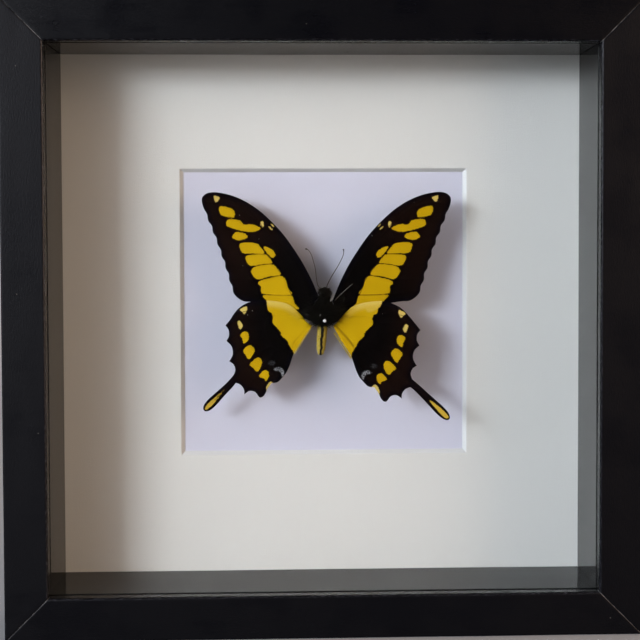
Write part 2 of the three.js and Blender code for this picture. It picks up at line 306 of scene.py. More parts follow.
def slab_places(low, high, radius, step):
    """Places along one side of a slab, closer together over its rounded edges."""
    arc = radius * np.array([0.0, 0.3, 0.65])
    start, end = low + radius, high - radius
    near = min(0.06, (end - start) / 4)
    flat = np.linspace(start + near, end - near, max(2, int((end - start) / step) + 2))
    return np.concatenate([low + arc, [start], flat, [end], (high - arc)[::-1]])


def rounded_slab(low, high, radius, step):
    """Points and faces of a box with rounded edges and its faces divided."""
    low, high = np.array(low, float), np.array(high, float)
    places = [slab_places(low[k], high[k], radius, step) for k in range(3)]
    points, faces, numbers = [], [], {}

    def number(point):
        key = tuple(np.round(point, 5))
        if key not in numbers:
            numbers[key] = len(points)
            points.append(point)
        return numbers[key]

    for axis in range(3):
        one, two = (axis + 1) % 3, (axis + 2) % 3
        for end, flip in ((low[axis], True), (high[axis], False)):
            ids = np.empty((len(places[one]), len(places[two])), int)
            for i, u in enumerate(places[one]):
                for j, v in enumerate(places[two]):
                    point = np.empty(3)
                    point[[axis, one, two]] = end, u, v
                    ids[i, j] = number(point)
            for i in range(ids.shape[0] - 1):
                for j in range(ids.shape[1] - 1):
                    face = [ids[i, j], ids[i + 1, j], ids[i + 1, j + 1], ids[i, j + 1]]
                    faces.append(face[::-1] if flip else face)
    points = np.array(points)
    core = np.clip(points, low + radius, high - radius)
    return core + unit(points - core) * radius, faces


def spun(profile, count):
    """A profile of [radius, height] points, both ends on the axis, spun round +Y."""
    rings = profile[1:-1]
    angles = np.linspace(0, 2 * math.pi, count, endpoint=False)
    points = [[r * math.cos(a), y, r * math.sin(a)] for r, y in rings for a in angles]
    faces = grid_faces(len(rings), count)
    points += [[0, profile[0][1], 0], [0, profile[-1][1], 0]]
    first, last = len(points) - 2, len(points) - 1
    final = (len(rings) - 1) * count
    for k in range(count):
        after = (k + 1) % count
        faces.append((first, after, k))
        faces.append((last, final + k, final + after))
    return np.array(points, float), faces


def curve_point(a, b, c, d, t):
    """The place a share t of the way from b to c on a smooth curve through all four."""
    return 0.5 * (2 * b + (c - a) * t + (2 * a - 5 * b + 4 * c - d) * t * t
                  + (3 * b - a - 3 * c + d) * t ** 3)


def smooth_line(points, per_span, closed=False):
    """A smooth curve through points."""
    points = np.array(points, float)
    count = len(points)
    line = []
    for k in range(count if closed else count - 1):
        if closed:
            a, b, c, d = (points[(k + j) % count] for j in (-1, 0, 1, 2))
        else:
            b, c = points[k], points[k + 1]
            a = points[k - 1] if k else 2 * b - c
            d = points[k + 2] if k + 2 < count else 2 * c - b
        for t in np.arange(per_span) / per_span:
            line.append(curve_point(a, b, c, d, t))
    if not closed:
        line.append(points[-1])
    return np.array(line)


def tube(line, radii, count=8):
    """A closed round tube along a line with a radius at each point."""
    line = np.array(line, float)
    along = unit(np.gradient(line, axis=0))
    across = unit(np.cross(along, [0.31, 0.87, 0.38]))
    beside = np.cross(along, across)
    angles = np.linspace(0, 2 * math.pi, count, endpoint=False)
    rings = [
        line + (across * math.cos(a) + beside * math.sin(a)) * np.asarray(radii)[:, None]
        for a in angles
    ]
    points = np.stack(rings, 1).reshape(-1, 3)
    return points, tube_faces(len(line), count)


def strands(roots, directions, lengths, radius, droop, chance):
    """Tapered three-sided hairs that bend towards droop, and their (points, faces)."""
    count = len(roots)
    directions = unit(directions)
    lengths = np.asarray(lengths)[:, None]
    across = unit(np.cross(directions, chance.normal(size=(count, 3))))
    beside = np.cross(directions, across)
    bend = droop + chance.normal(scale=0.22, size=(count, 3))
    rings = []
    for share, width in ((0.0, 1.0), (0.38, 0.85), (0.74, 0.5)):
        centre = roots + directions * lengths * share + bend * lengths * share ** 2
        for turn in range(3):
            angle = turn * 2 * math.pi / 3
            spoke = across * math.cos(angle) + beside * math.sin(angle)
            rings.append(centre + spoke * radius * width)
    rings.append(roots + directions * lengths + bend * lengths)
    points = np.stack(rings, 1).reshape(-1, 3)
    one = [(2, 1, 0)]
    for low in (0, 3):
        for k in range(3):
            after = (k + 1) % 3
            one.append((low + k, low + after, low + 3 + after))
            one.append((low + k, low + 3 + after, low + 3 + k))
    one += [(6, 7, 9), (7, 8, 9), (8, 6, 9)]
    faces = (np.array(one)[None] + (np.arange(count) * 10)[:, None, None]).reshape(-1, 3)
    return points, faces


def line_distance(points, line):
    """Distance from each 2-D point to an open line of points."""
    line = np.array(line, float)
    best = np.full(len(points), 1e9)
    for start, end in zip(line[:-1], line[1:]):
        run = end - start
        share = np.clip((points - start) @ run / max(run @ run, 1e-12), 0, 1)
        gap = points - start - share[:, None] * run
        best = np.minimum(best, np.einsum("ij,ij->i", gap, gap))
    return np.sqrt(best)


def inside(points, loop):
    """Which 2-D points lie inside a closed loop."""
    x, y = points[:, 0], points[:, 1]
    found = np.zeros(len(points), bool)
    for (ax, ay), (bx, by) in zip(loop, np.roll(loop, -1, 0)):
        if ay == by:
            continue
        crossing = (ay > y) != (by > y)
        found ^= crossing & (x < (bx - ax) * (y - ay) / (by - ay) + ax)
    return found


def depth_in(points, loop):
    """Signed distance to a closed loop, positive inside."""
    away = line_distance(points, np.vstack([loop, loop[:1]]))
    return np.where(inside(points, loop), away, -away)


# ------------------------------------------------------------------ materials


class Web:
    """Adds nodes to one node tree and joins them up."""

    def __init__(self, tree):
        self.tree = tree

    def node(self, kind, sockets=None, **settings):
        made = self.tree.nodes.new("ShaderNode" + kind)
        for key, value in settings.items():
            setattr(made, key, value)
        for key, value in (sockets or {}).items():
            self.feed(made.inputs[key], value)
        return made

    def feed(self, socket, value):
        if isinstance(value, bpy.types.NodeSocket):
            self.tree.links.new(value, socket)
        elif socket.type == "RGBA" and len(value) == 3:
            socket.default_value = (*value, 1.0)
        else:
            socket.default_value = value

    def math(self, operation, *values, clamp=False):
        sockets = dict(enumerate(values))
        return self.node("Math", sockets, operation=operation, use_clamp=clamp).outputs[0]

    def mix(self, share, first, second, blend="MIX"):
        made = self.node("Mix", {0: share, 6: first, 7: second}, data_type="RGBA",
                         blend_type=blend)
        return made.outputs[2]

    def span(self, value, low, high, out_low=0.0, out_high=1.0):
        sockets = {"Value": value, "From Min": low, "From Max": high,
                   "To Min": out_low, "To Max": out_high}
        return self.node("MapRange", sockets, interpolation_type="SMOOTHSTEP").outputs[0]

    def fact(self, name, output="Fac"):
        return self.node("Attribute", attribute_name=name).outputs[output]

    def group(self, name, sockets=None):
        made = self.tree.nodes.new("ShaderNodeGroup")
        made.node_tree = bpy.data.node_groups[name]
        for key, value in (sockets or {}).items():
            self.feed(made.inputs[key], value)
        return made.outputs

    def place(self):
        return self.group("Part Millimetres")["Vector"]

    def grain(self, place, size):
        return self.group("Fine Grain", {"Vector": place, "Size": size})["Value"]

    def fibres(self, place, width):
        return self.group("Paper Fibres", {"Vector": place, "Width": width})["Value"]

    def marks(self, place):
        return self.group("Handling Marks", {"Vector": place, "Amount": 1.0})["Mask"]

    def dust(self, place, spacing, speck, share):
        sockets = {"Vector": place, "Spacing": spacing, "Speck": speck, "Share": share}
        return self.group("Dust Specks", sockets)["Mask"]

    def fade(self, mask, share, first, second):
        return self.mix(self.math("MULTIPLY", mask, share), first, second)


def make_group(name, inputs, outputs, fill):
    """A node group; inputs are (name, socket type, default), outputs (name, type)."""
    tree = bpy.data.node_groups.new(name, "ShaderNodeTree")
    for label, kind, default in inputs:
        socket = tree.interface.new_socket(name=label, in_out="INPUT", socket_type=kind)
        if default is not None:
            socket.default_value = default
    for label, kind in outputs:
        tree.interface.new_socket(name=label, in_out="OUTPUT", socket_type=kind)
    web = Web(tree)
    entry = tree.nodes.new("NodeGroupInput")
    leave = tree.nodes.new("NodeGroupOutput")
    for label, result in fill(web, entry.outputs).items():
        tree.links.new(result, leave.inputs[label])


def fill_millimetres(web, _given):
    place = web.node("TexCoord").outputs["Object"]
    scaled = web.node("VectorMath", {0: place, "Scale": 1000.0}, operation="SCALE")
    return {"Vector": scaled.outputs[0]}


def fill_grain(web, given):
    scale = web.math("DIVIDE", 1.0, given["Size"])
    noise = web.node("TexNoise", {"Vector": given["Vector"], "Scale": scale, "Detail": 5.0,
                                  "Roughness": 0.6})
    return {"Value": web.span(noise.outputs[0], 0.25, 0.75)}


def fill_dust(web, given):
    scale = web.math("DIVIDE", 1.0, given["Spacing"])
    cells = web.node("TexVoronoi", {"Vector": given["Vector"], "Scale": scale})
    pick = web.node("SeparateColor", {0: cells.outputs["Color"]})
    size = web.math("MULTIPLY", web.math("DIVIDE", given["Speck"], given["Spacing"]),
                    web.math("ADD", pick.outputs[1], 0.3))
    near = web.math("LESS_THAN", cells.outputs["Distance"], size)
    chosen = web.math("LESS_THAN", pick.outputs[0], given["Share"])
    return {"Mask": web.math("MULTIPLY", near, chosen)}


def fill_fibres(web, given):
    total = None
    for squeeze in ((0.12, 1.0, 1.0), (1.0, 1.0, 0.12)):
        moved = web.node("VectorMath", {0: given["Vector"], 1: squeeze}, operation="MULTIPLY")
        scale = web.math("DIVIDE", 1.0, given["Width"])
        noise = web.node("TexNoise", {"Vector": moved.outputs[0], "Scale": scale,
                                      "Detail": 3.0, "Distortion": 0.6})
        value = web.span(noise.outputs[0], 0.3, 0.7)
        total = value if total is None else web.math("MULTIPLY", total, value)
    return {"Value": total}


def fill_handling(web, given):
    broad = web.node("TexNoise", {"Vector": given["Vector"], "Scale": 0.045, "Detail": 4.0})
    streaked = web.node("VectorMath", {0: given["Vector"], 1: (0.05, 1.0, 0.6)},
                        operation="MULTIPLY")
    fine = web.node("TexNoise", {"Vector": streaked.outputs[0], "Scale": 1.4, "Detail": 3.0})
    broad_mask = web.span(broad.outputs[0], 0.42, 0.68)
    fine_mask = web.span(fine.outputs[0], 0.45, 0.75)
    mixed = web.math("ADD", web.math("MULTIPLY", broad_mask, 0.7),
                     web.math("MULTIPLY", fine_mask, 0.3))
    return {"Mask": web.math("MULTIPLY", mixed, given["Amount"])}


def make_groups():
    """The effects that several materials share."""
    value, vector = "NodeSocketFloat", "NodeSocketVector"
    make_group("Part Millimetres", [], [("Vector", vector)], fill_millimetres)
    make_group("Fine Grain", [("Vector", vector, None), ("Size", value, 1.0)],
               [("Value", value)], fill_grain)
    make_group("Dust Specks", [("Vector", vector, None), ("Spacing", value, 8.0),
                               ("Speck", value, 0.3), ("Share", value, 0.3)],
               [("Mask", value)], fill_dust)
    make_group("Paper Fibres", [("Vector", vector, None), ("Width", value, 0.4)],
               [("Value", value)], fill_fibres)
    make_group("Handling Marks", [("Vector", vector, None), ("Amount", value, 1.0)],
               [("Mask", value)], fill_handling)


def start_finish(name, **plain):
    """A new material with its Principled shader's plain values set."""
    material = bpy.data.materials.new(name)
    material.use_nodes = True
    web = Web(material.node_tree)
    shader = material.node_tree.nodes["Principled BSDF"]
    for key, value in plain.items():
        web.feed(shader.inputs[key.replace("_", " ")], value)
    return material, web, shader


def wire(web, shader, base, rough, height=None, distance=0.0):
    """Feeds a shader its colour, its roughness and a bump of so many millimetres."""
    web.feed(shader.inputs["Base Color"], base)
    web.feed(shader.inputs["Roughness"], rough)
    if height is not None:
        bump = web.node("Bump", {"Height": height, "Distance": distance * MM, "Strength": 1.0})
        web.feed(shader.inputs["Normal"], bump.outputs[0])


def rail_finish(settings):
    """Matt black wrap with a fine leathery grain, pale where the mitres are cut, with a painted
    highlight along the lip's inner arris and a painted lightness that differs from rail to rail.
    """
    material, web, shader = start_finish("black_rail_wrap", Specular_IOR_Level=0.3)
    place = web.place()
    run = web.fact("run", "Vector")
    squeezed = web.node("VectorMath", {0: run, 1: (0.3, 1.0, 1.0)}, operation="MULTIPLY")
    grain = web.grain(squeezed.outputs[0], 0.55)
    pores = web.grain(place, 0.16)
    marks = web.marks(place)
    dust = web.dust(place, 7.0, 0.22, 0.22)
    tone = tuple(settings.rail_colour)
    lighter = tuple(1.6 * part + 0.001 for part in tone)
    base = web.fade(grain, 0.6, tone, lighter)
    base = web.fade(marks, 0.35, base, lighter)
    # painted light: each rail gets a fixed lightness by its side, the top rail darkest, as the
    # light falls
    painted_side_light = web.fact("painted_side_light")
    base = web.fade(painted_side_light, 0.6, base, tuple(1.8 * p + 0.002 for p in tone))
    mitre = web.fact("mitre")
    ragged = web.math("ADD", mitre, web.math("MULTIPLY", pores, 0.3))
    seam = web.span(ragged, 0.4, 0.12)
    broken = web.grain(place, 2.6)
    seam = web.math("MULTIPLY", seam, web.span(broken, 0.25, 0.7, 0.2, 1.0))
    arris = web.fact("arris")
    # pale bluish arrises: rubbed wear on every arris, and along the lip's inner edge a painted
    # highlight
    rubbed_and_highlit = web.math("MULTIPLY", arris, web.span(grain, 0.45, 0.95))
    inner = web.fact("inner")
    base = web.mix(web.math("MULTIPLY", rubbed_and_highlit, web.span(inner, 0.8, 0.97, 0.2, 0.5)), base,
                   (0.1, 0.105, 0.125))
    chipped = web.span(inner, 0.15, 0.9, 0.35, 1.0)
    base = web.mix(web.math("MULTIPLY", seam, chipped), base, (0.42, 0.42, 0.42))
    base = web.fade(dust, 0.8, base, (0.16, 0.155, 0.145))
    rough = web.math("ADD", web.span(marks, 0.0, 1.0, 0.36, 0.26), web.math("MULTIPLY", painted_side_light, 0.12))
    rough = web.math("MULTIPLY", rough, web.span(inner, 0.965, 1.0, 1.0, 0.35))
    height = web.math("ADD", web.math("MULTIPLY", grain, 0.7), web.math("MULTIPLY", pores, 0.3))
    wire(web, shader, base, rough, height, 0.035)
    return material


def glass_finish():
    """Clear sheet glass that lets light through to the sheets behind it."""
    material, web, shader = start_finish(
        "clear_sheet_glass", Base_Color=(0.985, 0.995, 0.99), Roughness=0.0, IOR=1.5,
        Transmission_Weight=1.0, Specular_IOR_Level=0.35,
    )
    clear = web.node("BsdfTransparent", {"Color": (0.93, 0.95, 0.94)})
    shadow = web.node("LightPath").outputs["Is Shadow Ray"]
    joint = web.node("MixShader", {0: shadow, 1: shader.outputs[0], 2: clear.outputs[0]})
    output = material.node_tree.nodes["Material Output"]
    web.feed(output.inputs["Surface"], joint.outputs[0])
    return material


def spacer_finish(side):
    """Smooth black foil with faint rub marks and dust, in one copy per side; the bottom and left
    copies are less glossy, painted shade that darkens those walls.
    """
    # painted shade: the bottom and left strips reflect less, as if they were in shade
    side_shade_gloss = {"bottom": 0.35, "left": 0.48, "top": 0.75, "right": 0.75}[side]
    material, web, shader = start_finish(f"black_spacer_foil_{side}", Specular_IOR_Level=side_shade_gloss)
    place = web.place()
    marks = web.marks(place)
    grain = web.grain(place, 0.8)
    dust = web.dust(place, 9.0, 0.2, 0.25)
    base = web.mix(grain, (0.009, 0.009, 0.0095), (0.013, 0.013, 0.013))
    base = web.fade(dust, 0.7, base, (0.2, 0.19, 0.17))
    wire(web, shader, base, web.span(marks, 0.0, 1.0, 0.09, 0.13), grain, 0.001)
    return material


def card_finish(settings):
    """Off-white mat card with a soft tooth and a bright white core in its bevel."""
    material, web, shader = start_finish("off_white_mat_card", Specular_IOR_Level=0.25)
    place = web.place()
    fibres = web.fibres(place, 0.5)
    grain = web.grain(place, 0.35)
    broad = web.grain(place, 45.0)
    tone = tuple(settings.mat_colour)
    shade = tuple(part * 0.965 for part in tone)
    base = web.mix(fibres, shade, tone)
    base = web.fade(broad, 0.25, base, tuple(p * 0.97 for p in tone))
    specks = web.dust(place, 16.0, 0.22, 0.2)
    base = web.fade(specks, 0.35, base, (0.4, 0.37, 0.32))
    core = web.fact("core")
    base = web.mix(core, base, (0.69, 0.695, 0.69))
    rough = web.span(grain, 0.0, 1.0, 0.82, 0.95)
    wire(web, shader, base, rough, web.math("ADD", fibres, grain), 0.03)
    return material


def paper_finish(settings):
    """Pale lavender paper with long soft fibres."""
    material, web, shader = start_finish("lavender_backdrop_paper", Specular_IOR_Level=0.2)
    place = web.place()
    fibres = web.fibres(place, 0.3)
    broad = web.grain(place, 30.0)
    tone = tuple(settings.paper_colour)
    base = web.mix(fibres, tuple(part * 0.97 for part in tone), tone)
    base = web.fade(broad, 0.3, base, tuple(p * 0.975 for p in tone))
    wire(web, shader, base, web.span(broad, 0.0, 1.0, 0.88, 0.96), fibres, 0.02)
    return material


def foam_finish():
    """Closed-cell foam."""
    material, web, shader = start_finish("pinning_foam", Specular_IOR_Level=0.3)
    place = web.place()
    cells = web.node("TexVoronoi", {"Vector": place, "Scale": 1.6})
    cell = cells.outputs[0]
    base = web.mix(web.span(cell, 0.1, 0.6), (0.84, 0.82, 0.76), (0.7, 0.68, 0.62))
    wire(web, shader, base, web.span(cell, 0, 1, 0.75, 0.95), cell, 0.08)
    return material


def hardboard_finish(settings):
    """Brown pressed board with dark and pale fibres and a rubbed skin."""
    material, web, shader = start_finish("pressed_hardboard", Specular_IOR_Level=0.35)
    place = web.place()
    fibres = web.fibres(place, 0.7)
    grain = web.grain(place, 2.2)
    marks = web.marks(place)
    tone = tuple(settings.board_colour)
    base = web.mix(fibres, tuple(part * 0.62 for part in tone), tuple(p * 1.25 for p in tone))
    base = web.fade(grain, 0.5, base, tone)
    base = web.fade(marks, 0.4, base, tuple(p * 0.72 for p in tone))
    flecks = web.dust(place, 3.2, 0.5, 0.3)
    base = web.fade(flecks, 0.4, base, (0.09, 0.045, 0.02))
    height = web.math("ADD", web.math("MULTIPLY", fibres, 0.6), grain)
    wire(web, shader, base, web.span(marks, 0.0, 1.0, 0.62, 0.42), height, 0.05)
    return material


def steel_finish():
    """Zinc plated steel, spangled, dulled and lightly scratched."""
    material, web, shader = start_finish("zinc_plated_steel", Metallic=1.0)
    place = web.place()
    marks = web.marks(place)
    grain = web.grain(place, 0.5)
    spangle = web.node("TexVoronoi", {"Vector": place, "Scale": 0.6})
    tint = web.node("SeparateColor", {0: spangle.outputs["Color"]}).outputs[0]
    base = web.mix(tint, (0.5, 0.51, 0.52), (0.64, 0.64, 0.63))
    base = web.fade(marks, 0.4, base, (0.36, 0.35, 0.33))
    rough = web.math("ADD", web.span(grain, 0, 1, 0.3, 0.44), web.math("MULTIPLY", marks, 0.12))
    wire(web, shader, base, rough, grain, 0.01)
    return material


def wing_finish(settings):
    """Powdery wing scales: black and brown ground, crisp yellow cells, dusky veins, painted shade
    along the fold and a painted highlight along each hindwing's front edge.
    """
    material, web, shader = start_finish("butterfly_wing_scales", Specular_IOR_Level=0.03)
    plan = web.fact("plan", "Vector")
    fuzz = web.grain(plan, 0.45)
    cloud = web.grain(plan, 6.0)
    scales = web.node("TexVoronoi", {"Vector": plan, "Scale": 7.5})
    scale_tone = web.node("SeparateColor", {0: scales.outputs["Color"]}).outputs[0]
    vein = web.fact("vein")
    rim = web.fact("rim")

    dark = web.mix(web.fact("outer"), tuple(settings.base_colour),
                   tuple(settings.dark_colour))
    dark = web.mix(web.math("MULTIPLY", web.span(rim, 2.6, 0.2), 0.8), dark,
                   (0.0012, 0.0013, 0.004))
    dark = web.fade(scale_tone, 0.25, dark, (0.006, 0.0035, 0.0028))
    bluish = web.math("MULTIPLY", web.fact("blue"),
                      web.span(fuzz, 0.25, 0.75, 0.12, 1))
    dark = web.fade(bluish, 0.9, dark, (0.36, 0.37, 0.4))
    dark = web.mix(web.math("MULTIPLY", web.span(vein, 0.2, 0.08), 0.5), dark,
                   (0.002, 0.0015, 0.0015))

    band, pale = tuple(settings.band_colour), tuple(settings.pale_colour)
    light = web.fade(cloud, 0.35, band, tuple(p * 0.88 for p in band))
    light = web.fade(scale_tone, 0.16, light, (0.66, 0.45, 0.015))
    # pale cells, and the painted highlight along each hindwing's front edge
    light = web.mix(web.fact("pale"), light, pale)
    seam = web.math("MULTIPLY", web.span(vein, 0.24, 0.08), web.fact("lined"))
    light = web.mix(seam, light, (0.05, 0.02, 0.003))
    # painted shade along the crease of the fold
    fold = web.fact("fold")
    light = web.mix(web.math("MULTIPLY", web.span(fold, 0.7, 0.1), 0.6), light,
                    (0.16, 0.075, 0.004))

    wander = web.math("MULTIPLY", web.math("SUBTRACT", fuzz, 0.5), 0.34)
    spot = web.math("ADD", web.fact("spot"), wander)
    edge_tint = web.span(spot, 0.5, 0.0)
    light = web.fade(edge_tint, 0.25, light, (0.3, 0.12, 0.004))
    base = web.mix(web.span(spot, -0.07, 0.09), dark, light)
    height = web.math("ADD", web.math("MULTIPLY", scales.outputs["Distance"], 0.8), fuzz)
    wire(web, shader, base, web.span(scale_tone, 0, 1, 0.6, 0.85), height, 0.02)
    return material


def hair_finish(name, dark, light, roughness):
    """Dry hair whose tone changes from strand to strand and to its tip."""
    material, web, shader = start_finish(name, Specular_IOR_Level=0.12)
    strand = web.fact("strand")
    place = web.place()
    grain = web.grain(place, 0.4)
    share = web.math("ADD", web.math("MULTIPLY", strand, 0.75), web.math("MULTIPLY", grain, 0.25))
    rough = web.span(grain, 0, 1, roughness - 0.1, roughness + 0.1)
    wire(web, shader, web.mix(share, dark, light), rough)
    return material


def body_finish():
    """Chitin: black thorax, yellow abdomen with a dark line down its back."""
    material, web, shader = start_finish("body_chitin", Specular_IOR_Level=0.15)
    place = web.place()
    grain = web.grain(place, 0.35)
    stripe = web.math("ADD", web.fact("stripe"), web.math("MULTIPLY", grain, 0.25))
    yellow = web.mix(grain, (0.4, 0.27, 0.025), (0.62, 0.45, 0.05))
    black = web.mix(grain, (0.003, 0.0022, 0.002), (0.008, 0.006, 0.004))
    base = web.mix(web.span(stripe, 0.35, 0.75), yellow, black)
    wire(web, shader, base, web.span(grain, 0, 1, 0.5, 0.8), grain, 0.05)
    return material


def horn_finish():
    """Dark ringed horn of the antennae."""
    material, web, shader = start_finish("antenna_horn", Specular_IOR_Level=0.3)
    place = web.place()
    rings = web.node("TexWave", {"Vector": place, "Scale": 1.1, "Distortion": 0.4},
                     bands_direction="Z").outputs["Fac"]
    base = web.mix(rings, (0.003, 0.0025, 0.0025), (0.01, 0.007, 0.006))
    wire(web, shader, base, web.span(rings, 0, 1, 0.45, 0.65), rings, 0.03)
    return material


def eye_finish():
    """Faceted dark compound eye."""
    material, web, shader = start_finish("compound_eye", Specular_IOR_Level=0.5)
    place = web.place()
    facets = web.node("TexVoronoi", {"Vector": place, "Scale": 14.0}).outputs["Distance"]
    base = web.mix(facets, (0.02, 0.012, 0.008), (0.006, 0.004, 0.003))
    wire(web, shader, base, web.span(facets, 0, 1, 0.25, 0.5), facets, 0.02)
    return material


def pin_finish():
    """Pale enamel head on a plated pin."""
    material, web, shader = start_finish("specimen_pin", Specular_IOR_Level=0.5)
    place = web.place()
    grain = web.grain(place, 0.3)
    head = web.fact("head")
    steel = web.mix(grain, (0.32, 0.32, 0.33), (0.5, 0.5, 0.5))
    enamel = web.mix(grain, (0.74, 0.73, 0.75), (0.86, 0.85, 0.86))
    web.feed(shader.inputs["Metallic"], web.math("SUBTRACT", 1.0, head))
    wire(web, shader, web.mix(head, steel, enamel), web.span(grain, 0, 1, 0.22, 0.38))
    return material


def dust_and_glint_finish():
    """Pale lint and dust, also used for the painted glint on the thorax."""
    material, web, shader = start_finish("pale_dust_and_painted_glint", Specular_IOR_Level=0.2)
    place = web.place()
    grain = web.grain(place, 0.4)
    base = web.mix(grain, (0.4, 0.38, 0.35), (0.62, 0.6, 0.56))
    wire(web, shader, base, web.span(grain, 0, 1, 0.7, 0.9))
    return material


# ------------------------------------------------------------------ frame


def box_mm(node):
    """The low and high corners of a CAD node's box, in millimetres."""
    return [np.array(corner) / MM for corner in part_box(node)]


def rail_section():
    """Closed section of a rail as [in from the outer edge, depth]."""
    corners = [(0, FRONT), (FACE, FRONT), (FACE, GLASS), (WALL, GLASS), (WALL, BACK), (0, BACK)]
    return rounded_loop(corners, (0.8, 0.9, 0.3, 0, 0.6, 0.6), 1.6)


def rail_rows():
    """Sections along a rail: side and share of its half length, cut off its end, sink."""
    near = ((0.0, 1.0), (0.12, 0.55), (0.3, 0.12), (0.5, 0.0), (MITRE_REACH, 0.0))
    rows = [(1.0, place, sink) for place, sink in near]
    rows += [(1 - 2 * k / RAIL_STEPS, MITRE_REACH, 0.0) for k in range(1, RAIL_STEPS)]
    return rows + [(-1.0, place, sink) for place, sink in near[::-1]]


def make_rail(turn, finish, settings):
    """One rail, mitred at both ends with a fine open seam."""
    section = rail_section()
    normals = loop_normals(section)
    groove = settings.seam_depth / MM
    rows = rail_rows()
    points, mitres = [], []
    for share, away, sink in rows:
        line = section - normals * groove * sink
        end = MIDDLE - line[:, 0] - MITRE_GAP
        x = share * (end - away)
        points.append(np.stack([x, line[:, 1], line[:, 0]], 1))
        mitres.append(end - np.abs(x))
    points = np.concatenate(points)
    count = len(section)
    faces = tube_faces(len(rows), count)
    around = np.concatenate([[0], np.cumsum(np.linalg.norm(np.diff(section, axis=0), axis=1))])
    outward = np.tile(np.stack([np.zeros(count), normals[:, 1], normals[:, 0]], 1), (len(rows), 1))
    wave = ripple(points * (0.15, 1, 1), 9, 31 + turn) * settings.rail_wave / MM
    run = np.stack([points[:, 0] + 400 * turn, np.tile(around, len(rows)), points[:, 2] * 0], 1)
    bend = np.abs(normals).min(1)
    values = {
        "run": run,
        "mitre": np.concatenate(mitres),
        "arris": np.tile(step_up(bend, 0.1, 0.5), len(rows)),
        # painted light: how light each rail's wrap is painted, by which side of the frame it is on
        "painted_side_light": np.full(len(points), (0.8, 1.0, 0.0, 0.7)[turn]),
        "inner": np.tile(section[:, 0] / FACE, len(rows)),
    }
    side = SIDES[turn]
    return make_piece(f"{side}_rail_wrapped", turned(points + outward * wave[:, None], turn),
                      faces, finish, [f"rail_{side}"], values, 50)


def make_spacer(side, finish):
    """A foil covered strip between glass and mat, very slightly bowed."""
    low, high = box_mm(f"spacer_{side}")
    points, faces = rounded_slab(low, high, 0.35, 5.0)
    seed = 60 + SIDES.index(side)
    thin = 2 if side in ("top", "bottom") else 0
    points[:, thin] += ripple(points * (0.25, 1.4, 0.25), 28, seed) * 0.05
    return make_piece(f"{side}_spacer_strip", points, faces, finish,
                      [f"spacer_{side}"], None, 50)


def make_sheet(name, node, finish, radius, step):
    """A flat sheet of the stack with softened edges."""
    low, high = box_mm(node)
    points, faces = rounded_slab(low, high, radius, step)
    return make_piece(name, points, faces, finish, [node], None, 50)


def make_mat(finish):
    """Mat board with a square window cut at 45 degrees."""
    foot = WINDOW - (PAPER - MAT)
    section = [(foot, PAPER)] + [(foot + d, PAPER - d) for d in (0.05, 0.4, 0.8, 1.2)]
    section += [(59.93, MAT + 0.06), (WINDOW, MAT + 0.015), (60.12, MAT)]
    section += [(half, MAT) for half in np.linspace(61, SHEET - 0.3, 22)]
    section += [(SHEET - 0.08, MAT + 0.06), (SHEET, MAT + 0.3), (SHEET, PAPER - 0.3)]
    section += [(SHEET - 0.3, PAPER), (86, PAPER)]
    per_side = 36
    along = np.linspace(-1, 1, per_side, endpoint=False)
    ones = np.ones(per_side)
    square = np.concatenate([np.stack([along, -ones], 1), np.stack([ones, along], 1),
                             np.stack([-along, ones], 1), np.stack([-ones, -along], 1)])
    points, core = [], []
    for half, y in section:
        centre = WINDOW_SHIFT * (SHEET - half) / (SHEET - WINDOW)
        ring = square * half + centre
        points.append(np.stack([ring[:, 0], np.full(len(ring), y), ring[:, 1] + MIDDLE], 1))
        core += [1.0 if half < 59.98 else 0.0] * len(ring)
    points = np.concatenate(points)
    count = per_side * 4
    faces = [face[::-1] for face in grid_faces(len(section), count)]
    last = (len(section) - 1) * count
    faces += [(k, last + k, last + (k + 1) % count, (k + 1) % count) for k in range(count)]
    faces = [face[::-1] for face in faces]
    return make_piece("bevelled_mat", points, faces, finish, ["mat_board"],
                      {"core": core}, 35)


def make_tab(turn, number, finish):
    """A bent steel tongue with a round end that holds the back board."""
    tip = 3.4 * np.sin(np.linspace(0.1, 1.57, 9))
    reach = np.concatenate([np.linspace(0, TAB_STRAIGHT, 26), TAB_STRAIGHT + tip])
    lift = 1.6 * (1 - step_up(reach, 0.3, 5.0))
    middle = np.stack([WALL + reach, RECESS + 0.02 + lift], 1)
    slope = unit(np.gradient(middle, axis=0))
    over = np.stack([-slope[:, 1], slope[:, 0]], 1)
    rounded = np.sqrt(np.clip(TAB_HALF ** 2 - (reach - TAB_STRAIGHT) ** 2, 0.02, None))
    half = np.where(reach > TAB_STRAIGHT, rounded, TAB_HALF)
    loop = rounded_loop([(-1, 0), (1, 0), (1, 1), (-1, 1)], (0, 0, 0, 0), 0.34)
    points = []
    for place, up, wide in zip(middle, over, half):
        rim = np.abs(loop[:, 0]) > 0.99
        rise = np.where(rim, 0.06 + loop[:, 1] * 0.38, loop[:, 1] * 0.5)
        row = place + up * rise[:, None]
        points.append(np.stack([loop[:, 0] * wide, row[:, 1], row[:, 0]], 1))
    points = np.concatenate(points)
    points[:, 0] += -TAB_SPREAD if number == 1 else TAB_SPREAD
    count = len(loop)
    faces = tube_faces(len(reach), count)
    side = SIDES[turn]
    return make_piece(f"{side}_tongue_{number}", turned(points, turn), faces, finish,
                      [f"tab_{side}_{number}"], None, 40)


